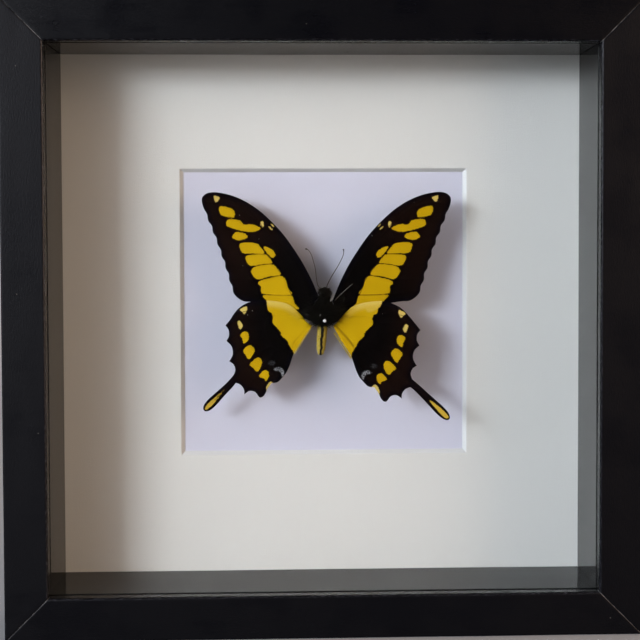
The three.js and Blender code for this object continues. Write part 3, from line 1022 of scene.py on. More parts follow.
def make_rivet(side, finish):
    """A domed rivet head with a rolled edge."""
    low, high = box_mm(f"rivet_{side}")
    centre = (low + high) / 2
    angles = np.linspace(0, math.pi / 2, 9)
    profile = [(0, 0.0), (1.8, 0.0), (1.9, 0.1), (1.88, 0.2)]
    profile += [(1.8 * math.cos(a), 0.28 + 0.72 * math.sin(a)) for a in angles[:-1]] + [(0, 1.0)]
    points, faces = spun(profile, 36)
    points += (centre[0], low[1], centre[2])
    return make_piece(f"{side}_rivet_head", points, faces, finish,
                      [f"rivet_{side}"], None, 50)


# ------------------------------------------------------------------ wings

# Points on a wing are [out from its hinge line, up from the hinge], in millimetres.

FOREWING_CELLS = (
    ((42.4, 48.8), (39.9, 48.0), (41.5, 46.1)),
    ((40.2, 44.0), (38.9, 44.6), (35.3, 43.7), (33.8, 42.0), (34.0, 40.5), (34.8, 39.8),
     (39.3, 41.0)),
    ((36.6, 39.2), (32.3, 39.0), (31.1, 38.2), (30.3, 37.3), (28.7, 37.1), (28.0, 37.4),
     (25.3, 36.8), (23.3, 35.5), (25.3, 34.5), (27.0, 34.1), (31.3, 34.7), (35.6, 36.0),
     (37.3, 37.0)),
    ((23.6, 37.6), (22.5, 38.6), (22.1, 37.0), (22.7, 35.8)),
    ((20.3, 36.4), (19.4, 36.1), (18.5, 35.0), (19.5, 35.3)),
    ((19.3, 37.6), (18.5, 37.1), (17.9, 36.0), (18.8, 36.5)),
    ((35.0, 32.3), (33.7, 34.0), (32.0, 34.1), (29.7, 33.5), (28.7, 32.2), (30.0, 31.3),
     (32.4, 30.8), (34.3, 31.5)),
    ((32.0, 28.7), (31.0, 29.8), (28.7, 30.0), (25.0, 29.5), (23.4, 28.0), (21.9, 25.5),
     (26.7, 25.5), (30.7, 25.8)),
    ((22.2, 28.1), (20.7, 28.1), (18.3, 26.6), (17.5, 24.9), (18.5, 23.7), (20.0, 24.8),
     (21.4, 26.4)),
    ((29.6, 23.7), (28.7, 24.8), (25.7, 25.1), (21.4, 25.1), (19.4, 23.2), (18.9, 21.6),
     (21.7, 21.4), (26.4, 20.5), (28.4, 21.1)),
    ((27.4, 18.3), (26.1, 20.0), (23.4, 20.8), (19.0, 21.2), (17.0, 19.9), (15.4, 17.0),
     (20.1, 16.2), (24.1, 15.1), (26.1, 15.9)),
    ((24.6, 13.4), (23.4, 14.7), (19.5, 15.7), (15.0, 16.5), (13.3, 14.8), (12.5, 11.8),
     (11.2, 8.8), (21.8, 9.2), (23.4, 10.2), (23.3, 12.1)),
    ((22.5, 8.7), (16.0, 8.8), (11.0, 8.6), (9.9, 5.6), (8.5, 3.0), (19.0, 3.4), (21.1, 6.5)),
)
FOREWING_PALE = (0, 3, 4, 5)
FOREWING_VEINS = (
    ((0.8, 2), (6, 5.5), (11, 9), (13.2, 14.5), (14.9, 16.8), (18, 21.4), (21, 25.2),
     (24.5, 30.3), (23.9, 34.2)),
    ((0.8, 6), (8, 19), (15, 28), (20, 33), (23, 36), (23.9, 34.2)),
    ((11, 8.7), (22.5, 8.9), (34.2, 9.8)),
    ((14.9, 16.8), (20, 16.0), (24.5, 14.9), (37, 15)),
    ((18, 21.4), (23.5, 21.0), (27.5, 20.3), (38.5, 21)),
    ((21, 25.2), (26.5, 25.3), (30.2, 25.2), (40, 27.5)),
    ((24.5, 30.3), (31.5, 30.4), (41.5, 33.2)),
    ((23.9, 34.2), (31.5, 34.3), (38, 36.9), (45, 39.8)),
    ((23, 36), (32, 39.5), (39, 40.6), (46, 42.9)),
    ((20, 33), (27, 42), (33, 47.6)),
    ((23, 36), (30, 42.8), (39, 49.3)),
    ((23, 36), (33, 44.3), (46.8, 46.3)),
)
HINDWING_CELLS = (
    ((19.5, 6.0), (19.0, 2.7), (17.5, 1.6), (17.0, 0), (17.2, -2.1), (15.9, -3.7),
     (13.8, -6.1), (13.7, -7.3), (11.5, -9.2), (10.5, -11.2), (9.0, -13.6), (8.2, -15.4),
     (6.4, -14.6), (3, -9), (-2, -5), (-2, 0), (4, 3.6), (9, 8), (15, 9), (19.6, 8.5)),
    ((30.4, 3.0), (27.9, 4.3), (27.4, 3.1), (28.5, 1.0), (29.5, 2.1)),
    ((31.4, -2.2), (30.4, -1.5), (29.2, -3.5), (30.4, -4.9)),
    ((30.2, -7.2), (28.9, -5.9), (27.2, -6.2), (26.8, -8.3), (27.3, -9.6), (28.9, -10.7),
     (29.4, -8.9)),
    ((29.1, -13.4), (27.3, -11.6), (25.6, -11.5), (24.4, -13.3), (25.3, -15.3),
     (26.8, -17.0), (28.1, -15.3)),
    ((26.5, -19.2), (24.6, -17.0), (22.8, -16.2), (21.5, -17.7), (22.0, -20.1),
     (23.5, -21.9), (25.3, -20.3)),
    ((22.8, -23.8), (21.3, -21.8), (20.0, -21.3), (18.8, -22.2), (18.8, -24.2),
     (20.0, -25.7), (20.6, -24.8)),
    ((19.9, -28.6), (18.9, -26.4), (17.8, -25.9), (16.6, -27.2), (19.0, -30.4)),
)
HINDWING_PALE = (1, 2, 7)
HINDWING_VEINS = (
    ((1.2, -3), (8, 0.5), (16, 0.5), (20, -1.5), (20, -7), (18, -11.5), (13.5, -13),
     (8, -9), (2, -4.5)),
    ((16, 0.5), (25, 2.8), (33.2, 0.8)),
    ((20, -1.5), (29, -0.6), (35.6, -3.3)),
    ((20, -5), (28, -5.0), (35.4, -9.2)),
    ((19.5, -8.5), (26.2, -10.6), (30, -12.4), (34.2, -17.3)),
    ((18, -11.5), (24.4, -16.1), (28, -20), (32.6, -25), (38, -30.2)),
    ((15.5, -12.8), (21.4, -20.9), (28.4, -30.3)),
    ((13.5, -13), (17.6, -21), (21.8, -31.8)),
    ((8, -9), (11.5, -17), (16, -25.8)),
)
HINDWING_BLUE = ((16.6, -20.9), (15.2, -20.2), (13.6, -20.4), (12.8, -21.4), (12.6, -23.0),
                 (13.2, -23.9), (13.8, -22.5), (14.6, -21.5), (15.6, -21.5))
FOLD = ((1.3, -2.4), (4.6, -5.4), (7.2, -8.4), (9.4, -11.2))
FOREWING = (FOREWING_CELLS, FOREWING_PALE, FOREWING_VEINS)
HINDWING = (HINDWING_CELLS, HINDWING_PALE, HINDWING_VEINS)


def merged_places(mesh):
    """A mesh's places in millimetres, each once, and which of them each vertex is at."""
    ids, places, number = {}, [], {}
    for vertex in mesh.vertices:
        key = tuple(round(part * 1e5) for part in vertex.co)
        if key not in ids:
            ids[key] = len(places)
            places.append(np.array(vertex.co) / MM)
        number[vertex.index] = ids[key]
    return np.array(places), number


def longest_loop(onward):
    """The longest run of numbers in which each leads on to the next."""
    loops = []
    while onward:
        here = next(iter(onward))
        loop = []
        while here in onward:
            loop.append(here)
            here = onward.pop(here)
        loops.append(loop)
    return max(loops, key=len)


class WingFrame:
    """Turns places on one wing into places in the frame."""

    def __init__(self, node, hinge, rise, spread, tail=None):
        self.node = node
        self.side = -1 if node.endswith("left") else 1
        self.fore = node.startswith("fore")
        self.hinge = np.array(hinge)
        self.tail = tail
        self.spread = spread
        rise = math.radians(rise)
        self.out = np.array([self.side * math.cos(rise), -math.sin(rise), 0])
        self.front = np.array([-self.side * math.sin(rise), -math.cos(rise), 0])

    def place(self, flat, height):
        flat = np.asarray(flat, float)
        up = np.array([0, 0, 1.0])
        return (self.hinge + flat[:, :1] * self.out + flat[:, 1:2] * up
                + np.asarray(height)[:, None] * self.front)

    def outline(self):
        """The front edge of the CAD wing as a smooth loop with its corners kept."""
        mesh = frame["nodes"][self.node].data
        places, number = merged_places(mesh)
        places = places - self.hinge
        height = places @ self.front
        edges = set()
        for polygon in mesh.polygons:
            corners = [number[index] for index in polygon.vertices]
            if height[corners].min() > height.max() - 0.05:
                edges.update(zip(corners, corners[1:] + corners[:1]))
        loop = places[longest_loop({a: b for a, b in edges if (b, a) not in edges})]
        return refine_loop(np.stack([loop @ self.out, loop[:, 2]], 1))


def refine_loop(loop):
    """Adds points along a loop as smooth curves, leaving its sharp corners sharp."""
    keep = np.linalg.norm(loop - np.roll(loop, 1, 0), axis=1) > 0.02
    loop = loop[keep]
    count = len(loop)
    turn_in, turn_out = loop - np.roll(loop, 1, 0), np.roll(loop, -1, 0) - loop
    sharp = np.einsum("ij,ij->i", unit(turn_in), unit(turn_out)) < math.cos(math.radians(32))
    line = []
    for k in range(count):
        a, b, c, d = (loop[(k + j) % count] for j in (-1, 0, 1, 2))
        a = 2 * b - c if sharp[k] else a
        d = 2 * c - b if sharp[(k + 1) % count] else d
        parts = max(1, int(round(np.linalg.norm(c - b) / 0.36)))
        for t in np.arange(parts) / parts:
            line.append(curve_point(a, b, c, d, t))
    return np.array(line)


def wing_sheet(outline, step, seed):
    """Flat triangles inside an outline, with points about a step apart."""
    chance = np.random.RandomState(seed)
    low, high = outline.min(0), outline.max(0)
    rows = np.arange(low[1], high[1], step * 0.866)
    spread = [np.stack([np.arange(low[0] + (k % 2) * step / 2, high[0], step),
                        np.full(len(np.arange(low[0] + (k % 2) * step / 2, high[0], step)), b)], 1)
              for k, b in enumerate(rows)]
    spread = np.concatenate(spread)
    spread += chance.uniform(-0.1, 0.1, spread.shape) * step
    spread = spread[depth_in(spread, outline) > step * 0.55]
    corners = [Vector(point) for point in np.vstack([outline, spread])]
    count = len(outline)
    edges = [(k, (k + 1) % count) for k in range(count)]
    found = geometry.delaunay_2d_cdt(corners, edges, [], 1, 1e-5)
    flat = np.array([list(point) for point in found[0]])
    triangles = np.array([face for face in found[2] if len(face) == 3])
    one, two, three = (flat[triangles[:, k]] for k in range(3))
    area = ((two[:, 0] - one[:, 0]) * (three[:, 1] - one[:, 1])
            - (three[:, 0] - one[:, 0]) * (two[:, 1] - one[:, 1]))
    triangles = np.where((area > 0)[:, None], triangles, triangles[:, ::-1])
    return flat, triangles[np.abs(area) > 1e-9]


# Yellow that the two hindwings don't share: the drops in the tails, as [share of the tail's
# length, across it], and the right wing's shoulder.
LEFT_DROPS = (
    ((0.34, 0.2), (0.5, 0.45), (0.7, 0.7), (0.88, 0.8), (0.97, 0.1), (0.86, -0.2),
     (0.76, -0.1), (0.6, 0.1), (0.46, 0.12)),
    ((0.45, -0.2), (0.6, -0.12), (0.76, 0.0), (0.86, 0.05), (0.965, 0.0), (0.93, -0.6),
     (0.8, -0.8), (0.66, -0.62), (0.53, -0.4)),
)
RIGHT_DROP = ((0.47, -0.1), (0.52, 0.35), (0.65, 0.7), (0.8, 0.9), (0.92, 0.85),
              (0.975, 0.1), (0.93, -0.75), (0.8, -0.9), (0.66, -0.7), (0.54, -0.45))
SHOULDER = ((15, 9.8), (20.6, 9.8), (20.9, 7.2), (20.3, 5.6), (19.2, 4.6), (15, 3))
TAIL_ROOT = np.array([32.6, -24.9])
TAIL_ALONG = np.array([0.71, -0.704])
TAIL_ACROSS = np.array([0.704, 0.71])


def own_cells(wing):
    """The yellow cells of one hindwing that the other doesn't have."""
    root = TAIL_ROOT + 0.18 * wing.side
    drops = LEFT_DROPS if wing.side < 0 else (RIGHT_DROP,)
    cells = [] if wing.side < 0 else [SHOULDER]
    for drop in drops:
        cells.append([root + TAIL_ALONG * share * wing.tail + TAIL_ACROSS * half
                      for share, half in drop])
    return [np.array(cell) for cell in cells]


def pattern_places(wing, flat):
    """Places in the plan of the markings, which lie a little differently on each wing."""
    flat = flat / wing.spread
    if wing.side < 0:
        return flat
    if wing.fore:
        inward = 0.3 + 0.5 * step_up(flat[:, 1], 34, 12)
        return flat + np.outer(inward, [1, 0])
    from_root = np.hypot(flat[:, 0], flat[:, 1])
    lift = 0.45 * step_up(from_root, 40, 33) + 1.05 * step_up(from_root, 27, 12)
    return flat - np.outer(lift, [0, 1])


def depth_in_cell(flat, cell):
    """Signed distance to a cell whose corners are smoothed, positive inside."""
    return depth_in(flat, smooth_line(cell, 5, closed=True))


def cell_values(flat, cells, pale_ones):
    """How deep each place is in the nearest yellow cell, and how pale it is."""
    spot = np.full(len(flat), -9.0)
    pale = np.zeros(len(flat))
    for index, cell in enumerate(cells):
        deep = depth_in_cell(flat, cell)
        spot = np.maximum(spot, deep)
        if index in pale_ones:
            pale = np.maximum(pale, step_up(deep, -0.7, -0.2) * 0.85)
    return spot, pale


def forewing_shades(flat):
    """Ground colour of a forewing, which has no fold and no blue."""
    return {
        "outer": step_up(flat[:, 0] * 0.6 + flat[:, 1] * 0.4, 16, 31),
        "lined": np.ones(len(flat)),
        "blue": np.zeros(len(flat)),
        "fold": np.full(len(flat), 9.0),
    }


def hindwing_shades(wing, flat):
    """Ground colour, blue crescent, smudge, and the fold line that shade is painted along, of a
    hindwing.
    """
    smudge = np.hypot((flat[:, 0] - 17.5) / 1.9, (flat[:, 1] + 18.4) / 1.3)
    crescent = step_up(depth_in_cell(flat, HINDWING_BLUE), -0.2, 0.25)
    fold = line_distance(flat, smooth_line(FOLD, 5))
    return {
        "outer": step_up(np.hypot(flat[:, 0], flat[:, 1] + 3), 21, 32),
        "lined": step_up(flat[:, 0], 19, 23) * 0.8 + 0.12,
        "blue": np.maximum(crescent, 0.13 * step_up(smudge, 1, 0.3)),
        "fold": fold if wing.side > 0 else fold + 0.35,
    }


def wing_marks(wing, flat, outline):
    """Values over a wing that its scales are coloured by."""
    cells, pale_ones, veins = FOREWING if wing.fore else HINDWING
    values = {
        "rim": line_distance(flat, np.vstack([outline, outline[:1]])),
        "plan": np.stack([flat[:, 0], flat[:, 1], np.full(len(flat), 7.0 * wing.side)], 1),
    }
    front = outline[outline[:, 1] > -3.3]
    front = line_distance(flat, front[np.argsort(front[:, 0])])
    flat = pattern_places(wing, flat)
    spot, pale = cell_values(flat, cells, pale_ones)
    values["vein"] = np.min([line_distance(flat, smooth_line(v, 5)) for v in veins], 0)
    if wing.fore:
        values.update(forewing_shades(flat))
    else:
        for cell in own_cells(wing):
            deep = depth_in_cell(flat, cell)
            spot = np.maximum(spot, deep)
            pale = np.maximum(pale, step_up(deep, -0.5, 0) * 0.3)
        # painted highlight: a pale strip along the hindwing's front edge, where the raised edge
        # catches the light
        pale = np.maximum(pale, step_up(front, 3.6, 0.2) * step_up(flat[:, 0], 5, 12) * 0.6)
        values.update(hindwing_shades(wing, flat))
    values["spot"] = spot
    values["pale"] = pale
    return values


def wing_relief(wing, flat, values):
    """Height of the membrane: raised veins, slack cells and a gentle wave."""
    vein = values["vein"]
    height = 0.2 + 0.08 * np.exp(-(vein / 0.24) ** 2) - 0.1 * (1 - np.exp(-vein / 1.4))
    height += ripple(flat, 17, 11 + wing.side + 5 * wing.fore) * 0.1
    if wing.fore:
        return height
    height -= 0.3 * step_up(values["rim"], 2.5, 0) * step_up(flat[:, 1], -2, 1)
    if wing.side > 0:
        beyond = flat[:, 0] + flat[:, 1] * 0.9
        height += 0.35 * np.exp(-(values["fold"] / 0.5) ** 2) * -1
        height += 0.25 * step_up(beyond, 0, -3) * step_up(flat[:, 1], 0, -4)
    return height


def make_wing(wing, finish, settings):
    """One wing as a thin closed membrane with veins and coloured scales."""
    outline = wing.outline()
    seed = 90 + wing.side + 7 * wing.fore
    flat, triangles = wing_sheet(outline, settings.mesh_step / MM, seed)
    values = wing_marks(wing, flat, outline)
    height = wing_relief(wing, flat, values)
    half = settings.membrane / MM / 2 * (0.45 + 0.55 * step_up(values["rim"], 0, 0.8))
    front, back = wing.place(flat, height + half), wing.place(flat, height - half)
    count = len(flat)
    if wing.side > 0:
        faces = triangles.tolist()
    else:
        faces = triangles[:, ::-1].tolist()
    directed = {(f[k], f[(k + 1) % 3]) for f in faces for k in range(3)}
    rim = [(a, b) for a, b in directed if (b, a) not in directed]
    faces += [[c + count for c in face[::-1]] for face in faces]
    faces += [[b, a, a + count, b + count] for a, b in rim]
    doubled = {key: np.concatenate([value, value]) for key, value in values.items()}
    return make_piece(f"{wing.node}_scaled", np.vstack([front, back]), faces, finish,
                      [wing.node], doubled)


WINGS = (
    WingFrame("forewing_left", (-1.8, -2.6, 124.7), -6, (1.015, 1.014)),
    WingFrame("forewing_right", (4.2, -2.6, 124.7), -3.5, (1.024, 1.011)),
    WingFrame("hindwing_left", (-3.4, -3.6, 124.7), -6, (1.0145, 1.019), 18.0),
    WingFrame("hindwing_right", (2.6, -3.6, 122.7), 0.5, (1.014, 1.008), 21.2),
)


# ------------------------------------------------------------------ body

BODY_PROFILE = (
    (0, 0), (0.01, 1), (0.05, 2), (0.09, 2.3), (0.13, 2), (0.16, 2.1), (0.22, 3.5),
    (0.3, 4.2), (0.38, 4.1), (0.46, 3), (0.52, 2.1), (0.62, 2.2), (0.76, 2.15),
    (0.88, 1.9), (0.96, 1.2), (0.99, 0.6), (1, 0),
)


# Where the long hair at each side of the thorax reaches, as [x, z].
TUFT_LEFT = ((-1, 127), (-3, 127), (-6.8, 127.6), (-9.3, 127.9), (-8.1, 126.2), (-6.7, 123.9),
             (-5.2, 121.8), (-3.2, 121.2), (-1, 121.5))
TUFT_RIGHT = ((2, 128), (4.6, 128), (9.4, 128.4), (7.7, 125.8), (6, 123.4), (4.3, 121.3),
              (2.6, 120.8), (1.2, 121.2))


def body_axes():
    """Unit vectors along the body, to its right side and out of its back."""
    along = unit(BODY_END - BODY_TOP)
    side = unit(np.cross(along, [0, -1.0, 0]))
    return along, side, np.cross(side, along)


def body_surface(share, angle):
    """A point on the body and its outward direction; angle 0 is the middle of its back."""
    known = np.array(BODY_PROFILE)
    radius = np.interp(share, known[:, 0], known[:, 1]) * 0.9
    rings = 0.5 + 0.5 * np.cos((share - 0.5) * 2 * math.pi / 0.062)
    radius = radius * np.where(share > 0.5, 1 - 0.07 * rings ** 4, 1.0)
    along, side, back = body_axes()
    size = np.linalg.norm(BODY_END - BODY_TOP)
    sign = 1 if back[1] < 0 else -1
    spoke = np.outer(np.sin(angle), side) + np.outer(np.cos(angle), back * sign)
    centre = BODY_TOP + np.outer(share * size, along)
    return centre + spoke * radius[:, None], spoke, radius


def dark_share(share, angle, radius):
    """How dark the body is at a place: its front half, back stripe and tip."""
    wander = 0.12 * np.sin(share * 31) + 0.1 * np.sin(share * 73 + 1)
    middle = np.abs(angle * radius + wander)
    stripe = step_up(middle, 1.0 - 0.55 * share ** 3, 0.55 - 0.3 * share)
    return np.maximum.reduce([step_up(share, 0.53, 0.5), stripe, step_up(share, 0.955, 0.985)])


def make_body(finish):
    """Head, thorax and ringed abdomen."""
    shares = np.concatenate([np.linspace(0.004, 0.5, 44), np.linspace(0.506, 0.996, 110)])
    angles = np.linspace(-math.pi, math.pi, 44, endpoint=False)
    share, angle = (grid.ravel() for grid in np.meshgrid(shares, angles, indexing="ij"))
    points, spoke, radius = body_surface(share, angle)
    points = points + spoke * (ripple(points, 1.6, 3) * 0.05)[:, None]
    count = len(angles)
    faces = grid_faces(len(shares), count)
    points = np.vstack([points, BODY_TOP, BODY_END])
    last = (len(shares) - 1) * count
    for k in range(count):
        after = (k + 1) % count
        faces.append((len(points) - 2, after, k))
        faces.append((len(points) - 1, last + k, last + after))
    values = {"stripe": np.append(dark_share(share, angle, radius), [1.0, 1.0])}
    return make_piece("thorax_and_abdomen", points, faces, finish, ["body"], values)


def make_thorax_hair(finish, settings):
    """Shaggy black hair over the head, thorax and wing roots."""
    chance = np.random.RandomState(17)
    count = settings.thorax_hairs
    share = chance.uniform(0.02, 0.5, count * 3)
    known = np.array(BODY_PROFILE)
    weight = np.interp(share, known[:, 0], known[:, 1]) / 4.2
    share = share[chance.uniform(size=len(share)) < weight][:count]
    angle = chance.uniform(-2.2, 2.2, len(share))
    roots, spoke, _ = body_surface(share, angle)
    along = body_axes()[0]
    head = step_up(share, 0.17, 0.1)[:, None]
    lean = along * (0.9 - 1.1 * head) + chance.normal(scale=0.35, size=roots.shape)
    size = chance.uniform(0.7, 1.9, len(share)) * (1 - 0.1 * head[:, 0])
    directions = unit(spoke * 0.75 + lean)
    low = roots + directions * size[:, None]
    size = np.where(low[:, 2] < 121.4, size * 0.45, size)
    points, faces = strands(roots, directions, size, 0.05, along * 0.25, chance)
    strand = np.repeat(chance.uniform(0, 1, len(roots)) ** (5 - 3.6 * head[:, 0]), 10)
    return make_piece("thorax_hair", points, faces, finish, (),
                      {"strand": strand})


def make_root_tufts(finish, settings):
    """Long black hair from the sides of the thorax, laid over the roots of the wings."""
    chance = np.random.RandomState(37)
    all_roots, all_targets = [], []
    for side, reach in ((-1, TUFT_LEFT), (1, TUFT_RIGHT)):
        loop = np.array(reach, float)
        spots = chance.uniform(loop.min(0), loop.max(0), (settings.tuft_hairs * 4, 2))
        spots = spots[inside(spots, loop)][:settings.tuft_hairs]
        share = np.interp(spots[:, 1], (121, 128), (0.5, 0.34))
        share += chance.normal(scale=0.02, size=len(spots))
        angle = side * chance.uniform(0.5, 1.5, len(spots))
        all_roots.append(body_surface(share, angle)[0])
        sink = 0.105 if side < 0 else 0.03
        depth = -4.15 + sink * np.abs(spots[:, 0]) - chance.uniform(0, 0.6, len(spots))
        all_targets.append(np.stack([spots[:, 0], depth, spots[:, 1]], 1))
    roots, targets = np.concatenate(all_roots), np.concatenate(all_targets)
    run = targets - roots
    bow = np.array([0, 0.18, -0.05])
    size = np.linalg.norm(run, axis=1)
    points, faces = strands(roots, run - bow * size[:, None], size, 0.07, bow, chance)
    strand = np.repeat(chance.uniform(0, 1, len(roots)) ** 6, 10)
    return make_piece("wing_root_tufts", points, faces, finish, (),
                      {"strand": strand})


def make_abdomen_hair(finish, settings):
    """Short yellow hair that lies along the sides of the abdomen, painted paler on the left side
    where the light falls.
    """
    chance = np.random.RandomState(23)
    share = chance.uniform(0.5, 0.97, settings.abdomen_hairs)
    angle = chance.uniform(-2.4, 2.4, len(share))
    roots, spoke, radius = body_surface(share, angle)
    keep = dark_share(share, angle, radius) < 0.4
    roots, spoke = roots[keep], spoke[keep]
    along, side, _ = body_axes()
    # painted light: hair on the left, lit side of the abdomen is made paler
    painted_lit_side = step_up(spoke @ side * np.sign(side[0]), 0.25, -0.6)
    directions = unit(spoke * 0.28 + along + chance.normal(scale=0.12, size=roots.shape))
    size = chance.uniform(0.35, 0.8, len(roots))
    points, faces = strands(roots, directions, size, 0.035, spoke * -0.1, chance)
    strand = np.repeat(chance.uniform(0, 0.45, len(roots)) + 0.75 * painted_lit_side, 10)
    return make_piece("abdomen_hair", points, faces, finish, (),
                      {"strand": strand})


def black_root_hair(wing, chance):
    """Places of black hair on a forewing's root, its lean and its lengths."""
    flat = np.stack([chance.uniform(-1, 4.2, 420), chance.uniform(-2, 9, 420)], 1)
    flat = flat[depth_in(flat, wing.flat_outline) > 0.1]
    return flat, (1.0, -0.15), chance.uniform(0.7, 1.7, len(flat))


def margin_hair(chance):
    """Places of yellow hair on a hindwing's inner margin, its lean and its lengths."""
    edge = smooth_line([(1.8, -4.2), (4.9, -8.9), (6.9, -12.0), (8.7, -14.5)], 60)
    flat = np.repeat(edge, 3, axis=0) + chance.normal(scale=0.1, size=(len(edge) * 3, 2))
    return flat, (-0.45, -0.9), chance.uniform(0.3, 0.75, len(flat))


def make_wing_root_hair(finish, dark):
    """Hair on the roots of the wings, black, or yellow along the inner margins."""
    chance = np.random.RandomState(29 + dark)
    all_roots, all_directions, sizes = [], [], []
    for wing in WINGS:
        if wing.fore != dark:
            continue
        flat, lean, size = black_root_hair(wing, chance) if dark else margin_hair(chance)
        lean = np.array(lean) + chance.normal(scale=0.3, size=flat.shape)
        roots = wing.place(flat, np.full(len(flat), 0.22))
        direction = (lean[:, :1] * wing.out + lean[:, 1:] * np.array([0, 0, 1.0])
                     + wing.front * chance.uniform(0.1, 0.45, len(flat))[:, None])
        all_roots.append(roots)
        all_directions.append(direction)
        sizes.append(size)
    roots, directions = np.concatenate(all_roots), np.concatenate(all_directions)
    points, faces = strands(roots, directions, np.concatenate(sizes), 0.04,
                            np.array([0, 0, -0.1]), chance)
    strand = np.repeat(chance.uniform(0, 1, len(roots)) ** (3 if dark else 1), 10)
    name = "wing_root_hair" if dark else "inner_margin_hair"
    return make_piece(name, points, faces, finish, (), {"strand": strand})


def make_eyes(finish):
    """Two domed compound eyes at the sides of the head."""
    parts = []
    angles = np.linspace(-math.pi / 2, math.pi / 2, 16)
    profile = [(math.cos(a), math.sin(a)) for a in angles]
    profile[0], profile[-1] = (0, -1.0), (0, 1.0)
    for x in (-1.15, 2.3):
        points, faces = spun(profile, 24)
        parts.append((points * (0.85, 0.95, 1.0) + (x, -3.7, 134.4), [f[::-1] for f in faces]))
    points, faces = joined(*parts)
    return make_piece("compound_eyes", points, faces, finish)


ANTENNAE = {
    "left": ((-1.3, -4.6, 136.2), (-2.4, -4.8, 138), (-2.9, -5.3, 140.8), (-3.3, -6, 144.4),
             (-4.1, -6.6, 147.5), (-5, -7.2, 150.3), (-6.1, -7.5, 152), (-7.4, -7.6, 152.6)),
    "right": ((1.3, -4.6, 136.4), (1.6, -4.7, 138), (3.4, -5.6, 141.6), (5.7, -6.5, 145.4),
              (7.6, -7.2, 149.2), (8.1, -7.5, 151.3), (7.9, -7.6, 152.4)),
}


def make_antenna(side, finish):
    """A ringed antenna that swells to a club."""
    line = smooth_line(ANTENNAE[side], 30)
    share = np.linspace(0, 1, len(line))
    thick = 0.125 if side == "left" else 0.165
    radii = thick - 0.03 * share + 0.01 * np.sin(share * 2 * math.pi * 46)
    radii += 0.2 * np.exp(-((share - 0.955) / 0.045) ** 2)
    radii *= np.sqrt(np.clip((1.004 - share) / 0.02, 0.02, 1))
    points, faces = tube(line, radii, 10)
    return make_piece(f"{side}_antenna_horn", points, faces, finish,
                      [f"antenna_{side}"])


def make_pin(finish):
    """A fine pin with a small round head, through the thorax into the foam."""
    head = [(0.62 * math.sin(a) + 0.02, -8.42 - 0.58 * math.cos(a))
            for a in np.linspace(0.15, 2.75, 12)]
    profile = [(0, -9.0)] + head + [(0.22, -7.8)]
    profile += [(0.22, y) for y in np.linspace(-6, 12.5, 12)] + [(0.12, 14.0), (0, 15.0)]
    points, faces = spun(profile, 20)
    head_share = step_up(points[:, 1], -7.7, -7.9)
    points += PIN_AT
    return make_piece("pin_with_head", points, faces, finish, ["specimen_pin"],
                      {"head": head_share}, 60)


# Dust on the wings, as [index of the wing, out, up, size].
FLECKS = (
    (0, 32.4, 41.5, 0.16), (0, 24.4, 31.8, 0.12), (0, 31.2, 20.9, 0.1),
    (2, 25.6, 2.6, 0.2), (2, 27.6, 0.9, 0.14), (2, 27.4, -7.0, 0.14),
    (1, 15.7, 33.0, 0.14), (1, 33, 46.5, 0.1), (3, 21.4, 3.4, 0.1),
)


def make_lint_and_glint(finish):
    """A fibre on the right forewing root, a few specks of dust on the wings, and a pale streak on
    the thorax that is a painted glint.
    """
    chance = np.random.RandomState(41)
    fibre = smooth_line([(4.6, -4.4, 131.6), (6.6, -3.4, 133.5), (9.2, -3.2, 135.9),
                         (11.8, -3.1, 138.1)], 8)
    parts = [tube(fibre, np.full(len(fibre), 0.03), 6)]
    quill = smooth_line([(2.7, -6.1, 131.3), (3.3, -6.2, 132.6), (4.2, -5.9, 134.2)], 8)
    parts.append(tube(quill, np.linspace(0.16, 0.05, len(quill)), 6))
    # painted highlight: a pale streak that stands for a glint of light on the thorax
    glint = smooth_line([(-1.7, -8.0, 125.5), (-1.4, -8.05, 125.9), (-1.3, -8.0, 126.3)], 4)
    parts.append(tube(glint, np.full(len(glint), 0.07), 6))
    for index, out, up, size in FLECKS:
        wing = WINGS[index]
        centre = wing.place(np.array([[out, up]]), [0.42])[0]
        ball, faces = spun([(0, -1.0), (0.8, -0.6), (1, 0), (0.7, 0.7), (0, 1.0)], 7)
        squash = chance.uniform(0.5, 1.3, 3) * size
        parts.append((ball * squash + centre, faces))
    points, faces = joined(*parts)
    return make_piece("lint_dust_and_painted_glint", points, faces, finish)


# ------------------------------------------------------------------ stage


def make_floor(settings):
    """A pale floor that sweeps up behind the frame."""
    profile = [(-1.5, 0.0), (0.5, 0.0)]
    profile += [(0.5 + 0.5 * math.sin(a), 0.5 - 0.5 * math.cos(a))
                for a in np.linspace(0.1, math.pi / 2, 16)]
    profile += [(1.0, 3.0)]
    points = [(x, y, z - 0.0002) for y, z in profile for x in (-3.0, 3.0)]
    faces = [(2 * k, 2 * k + 1, 2 * k + 3, 2 * k + 2) for k in range(len(profile) - 1)]
    mesh = bpy.data.meshes.new("stage_sweep")
    mesh.from_pydata(points, [], faces)
    mesh.shade_smooth()
    material, web, shader = start_finish("stage_paper", Specular_IOR_Level=0.2)
    place = web.node("TexCoord").outputs["Object"]
    grain = web.grain(place, 0.4)
    tone = tuple(settings.floor_colour)
    base = web.mix(grain, tone, tuple(p * 0.96 for p in tone))
    wire(web, shader, base, web.span(grain, 0, 1, 0.8, 0.9))
    mesh.materials.append(material)
    sweep = bpy.data.objects.new("stage_sweep", mesh)
    bpy.context.scene.collection.objects.link(sweep)
    sweep.visible_glossy = False
    sweep.visible_transmission = False


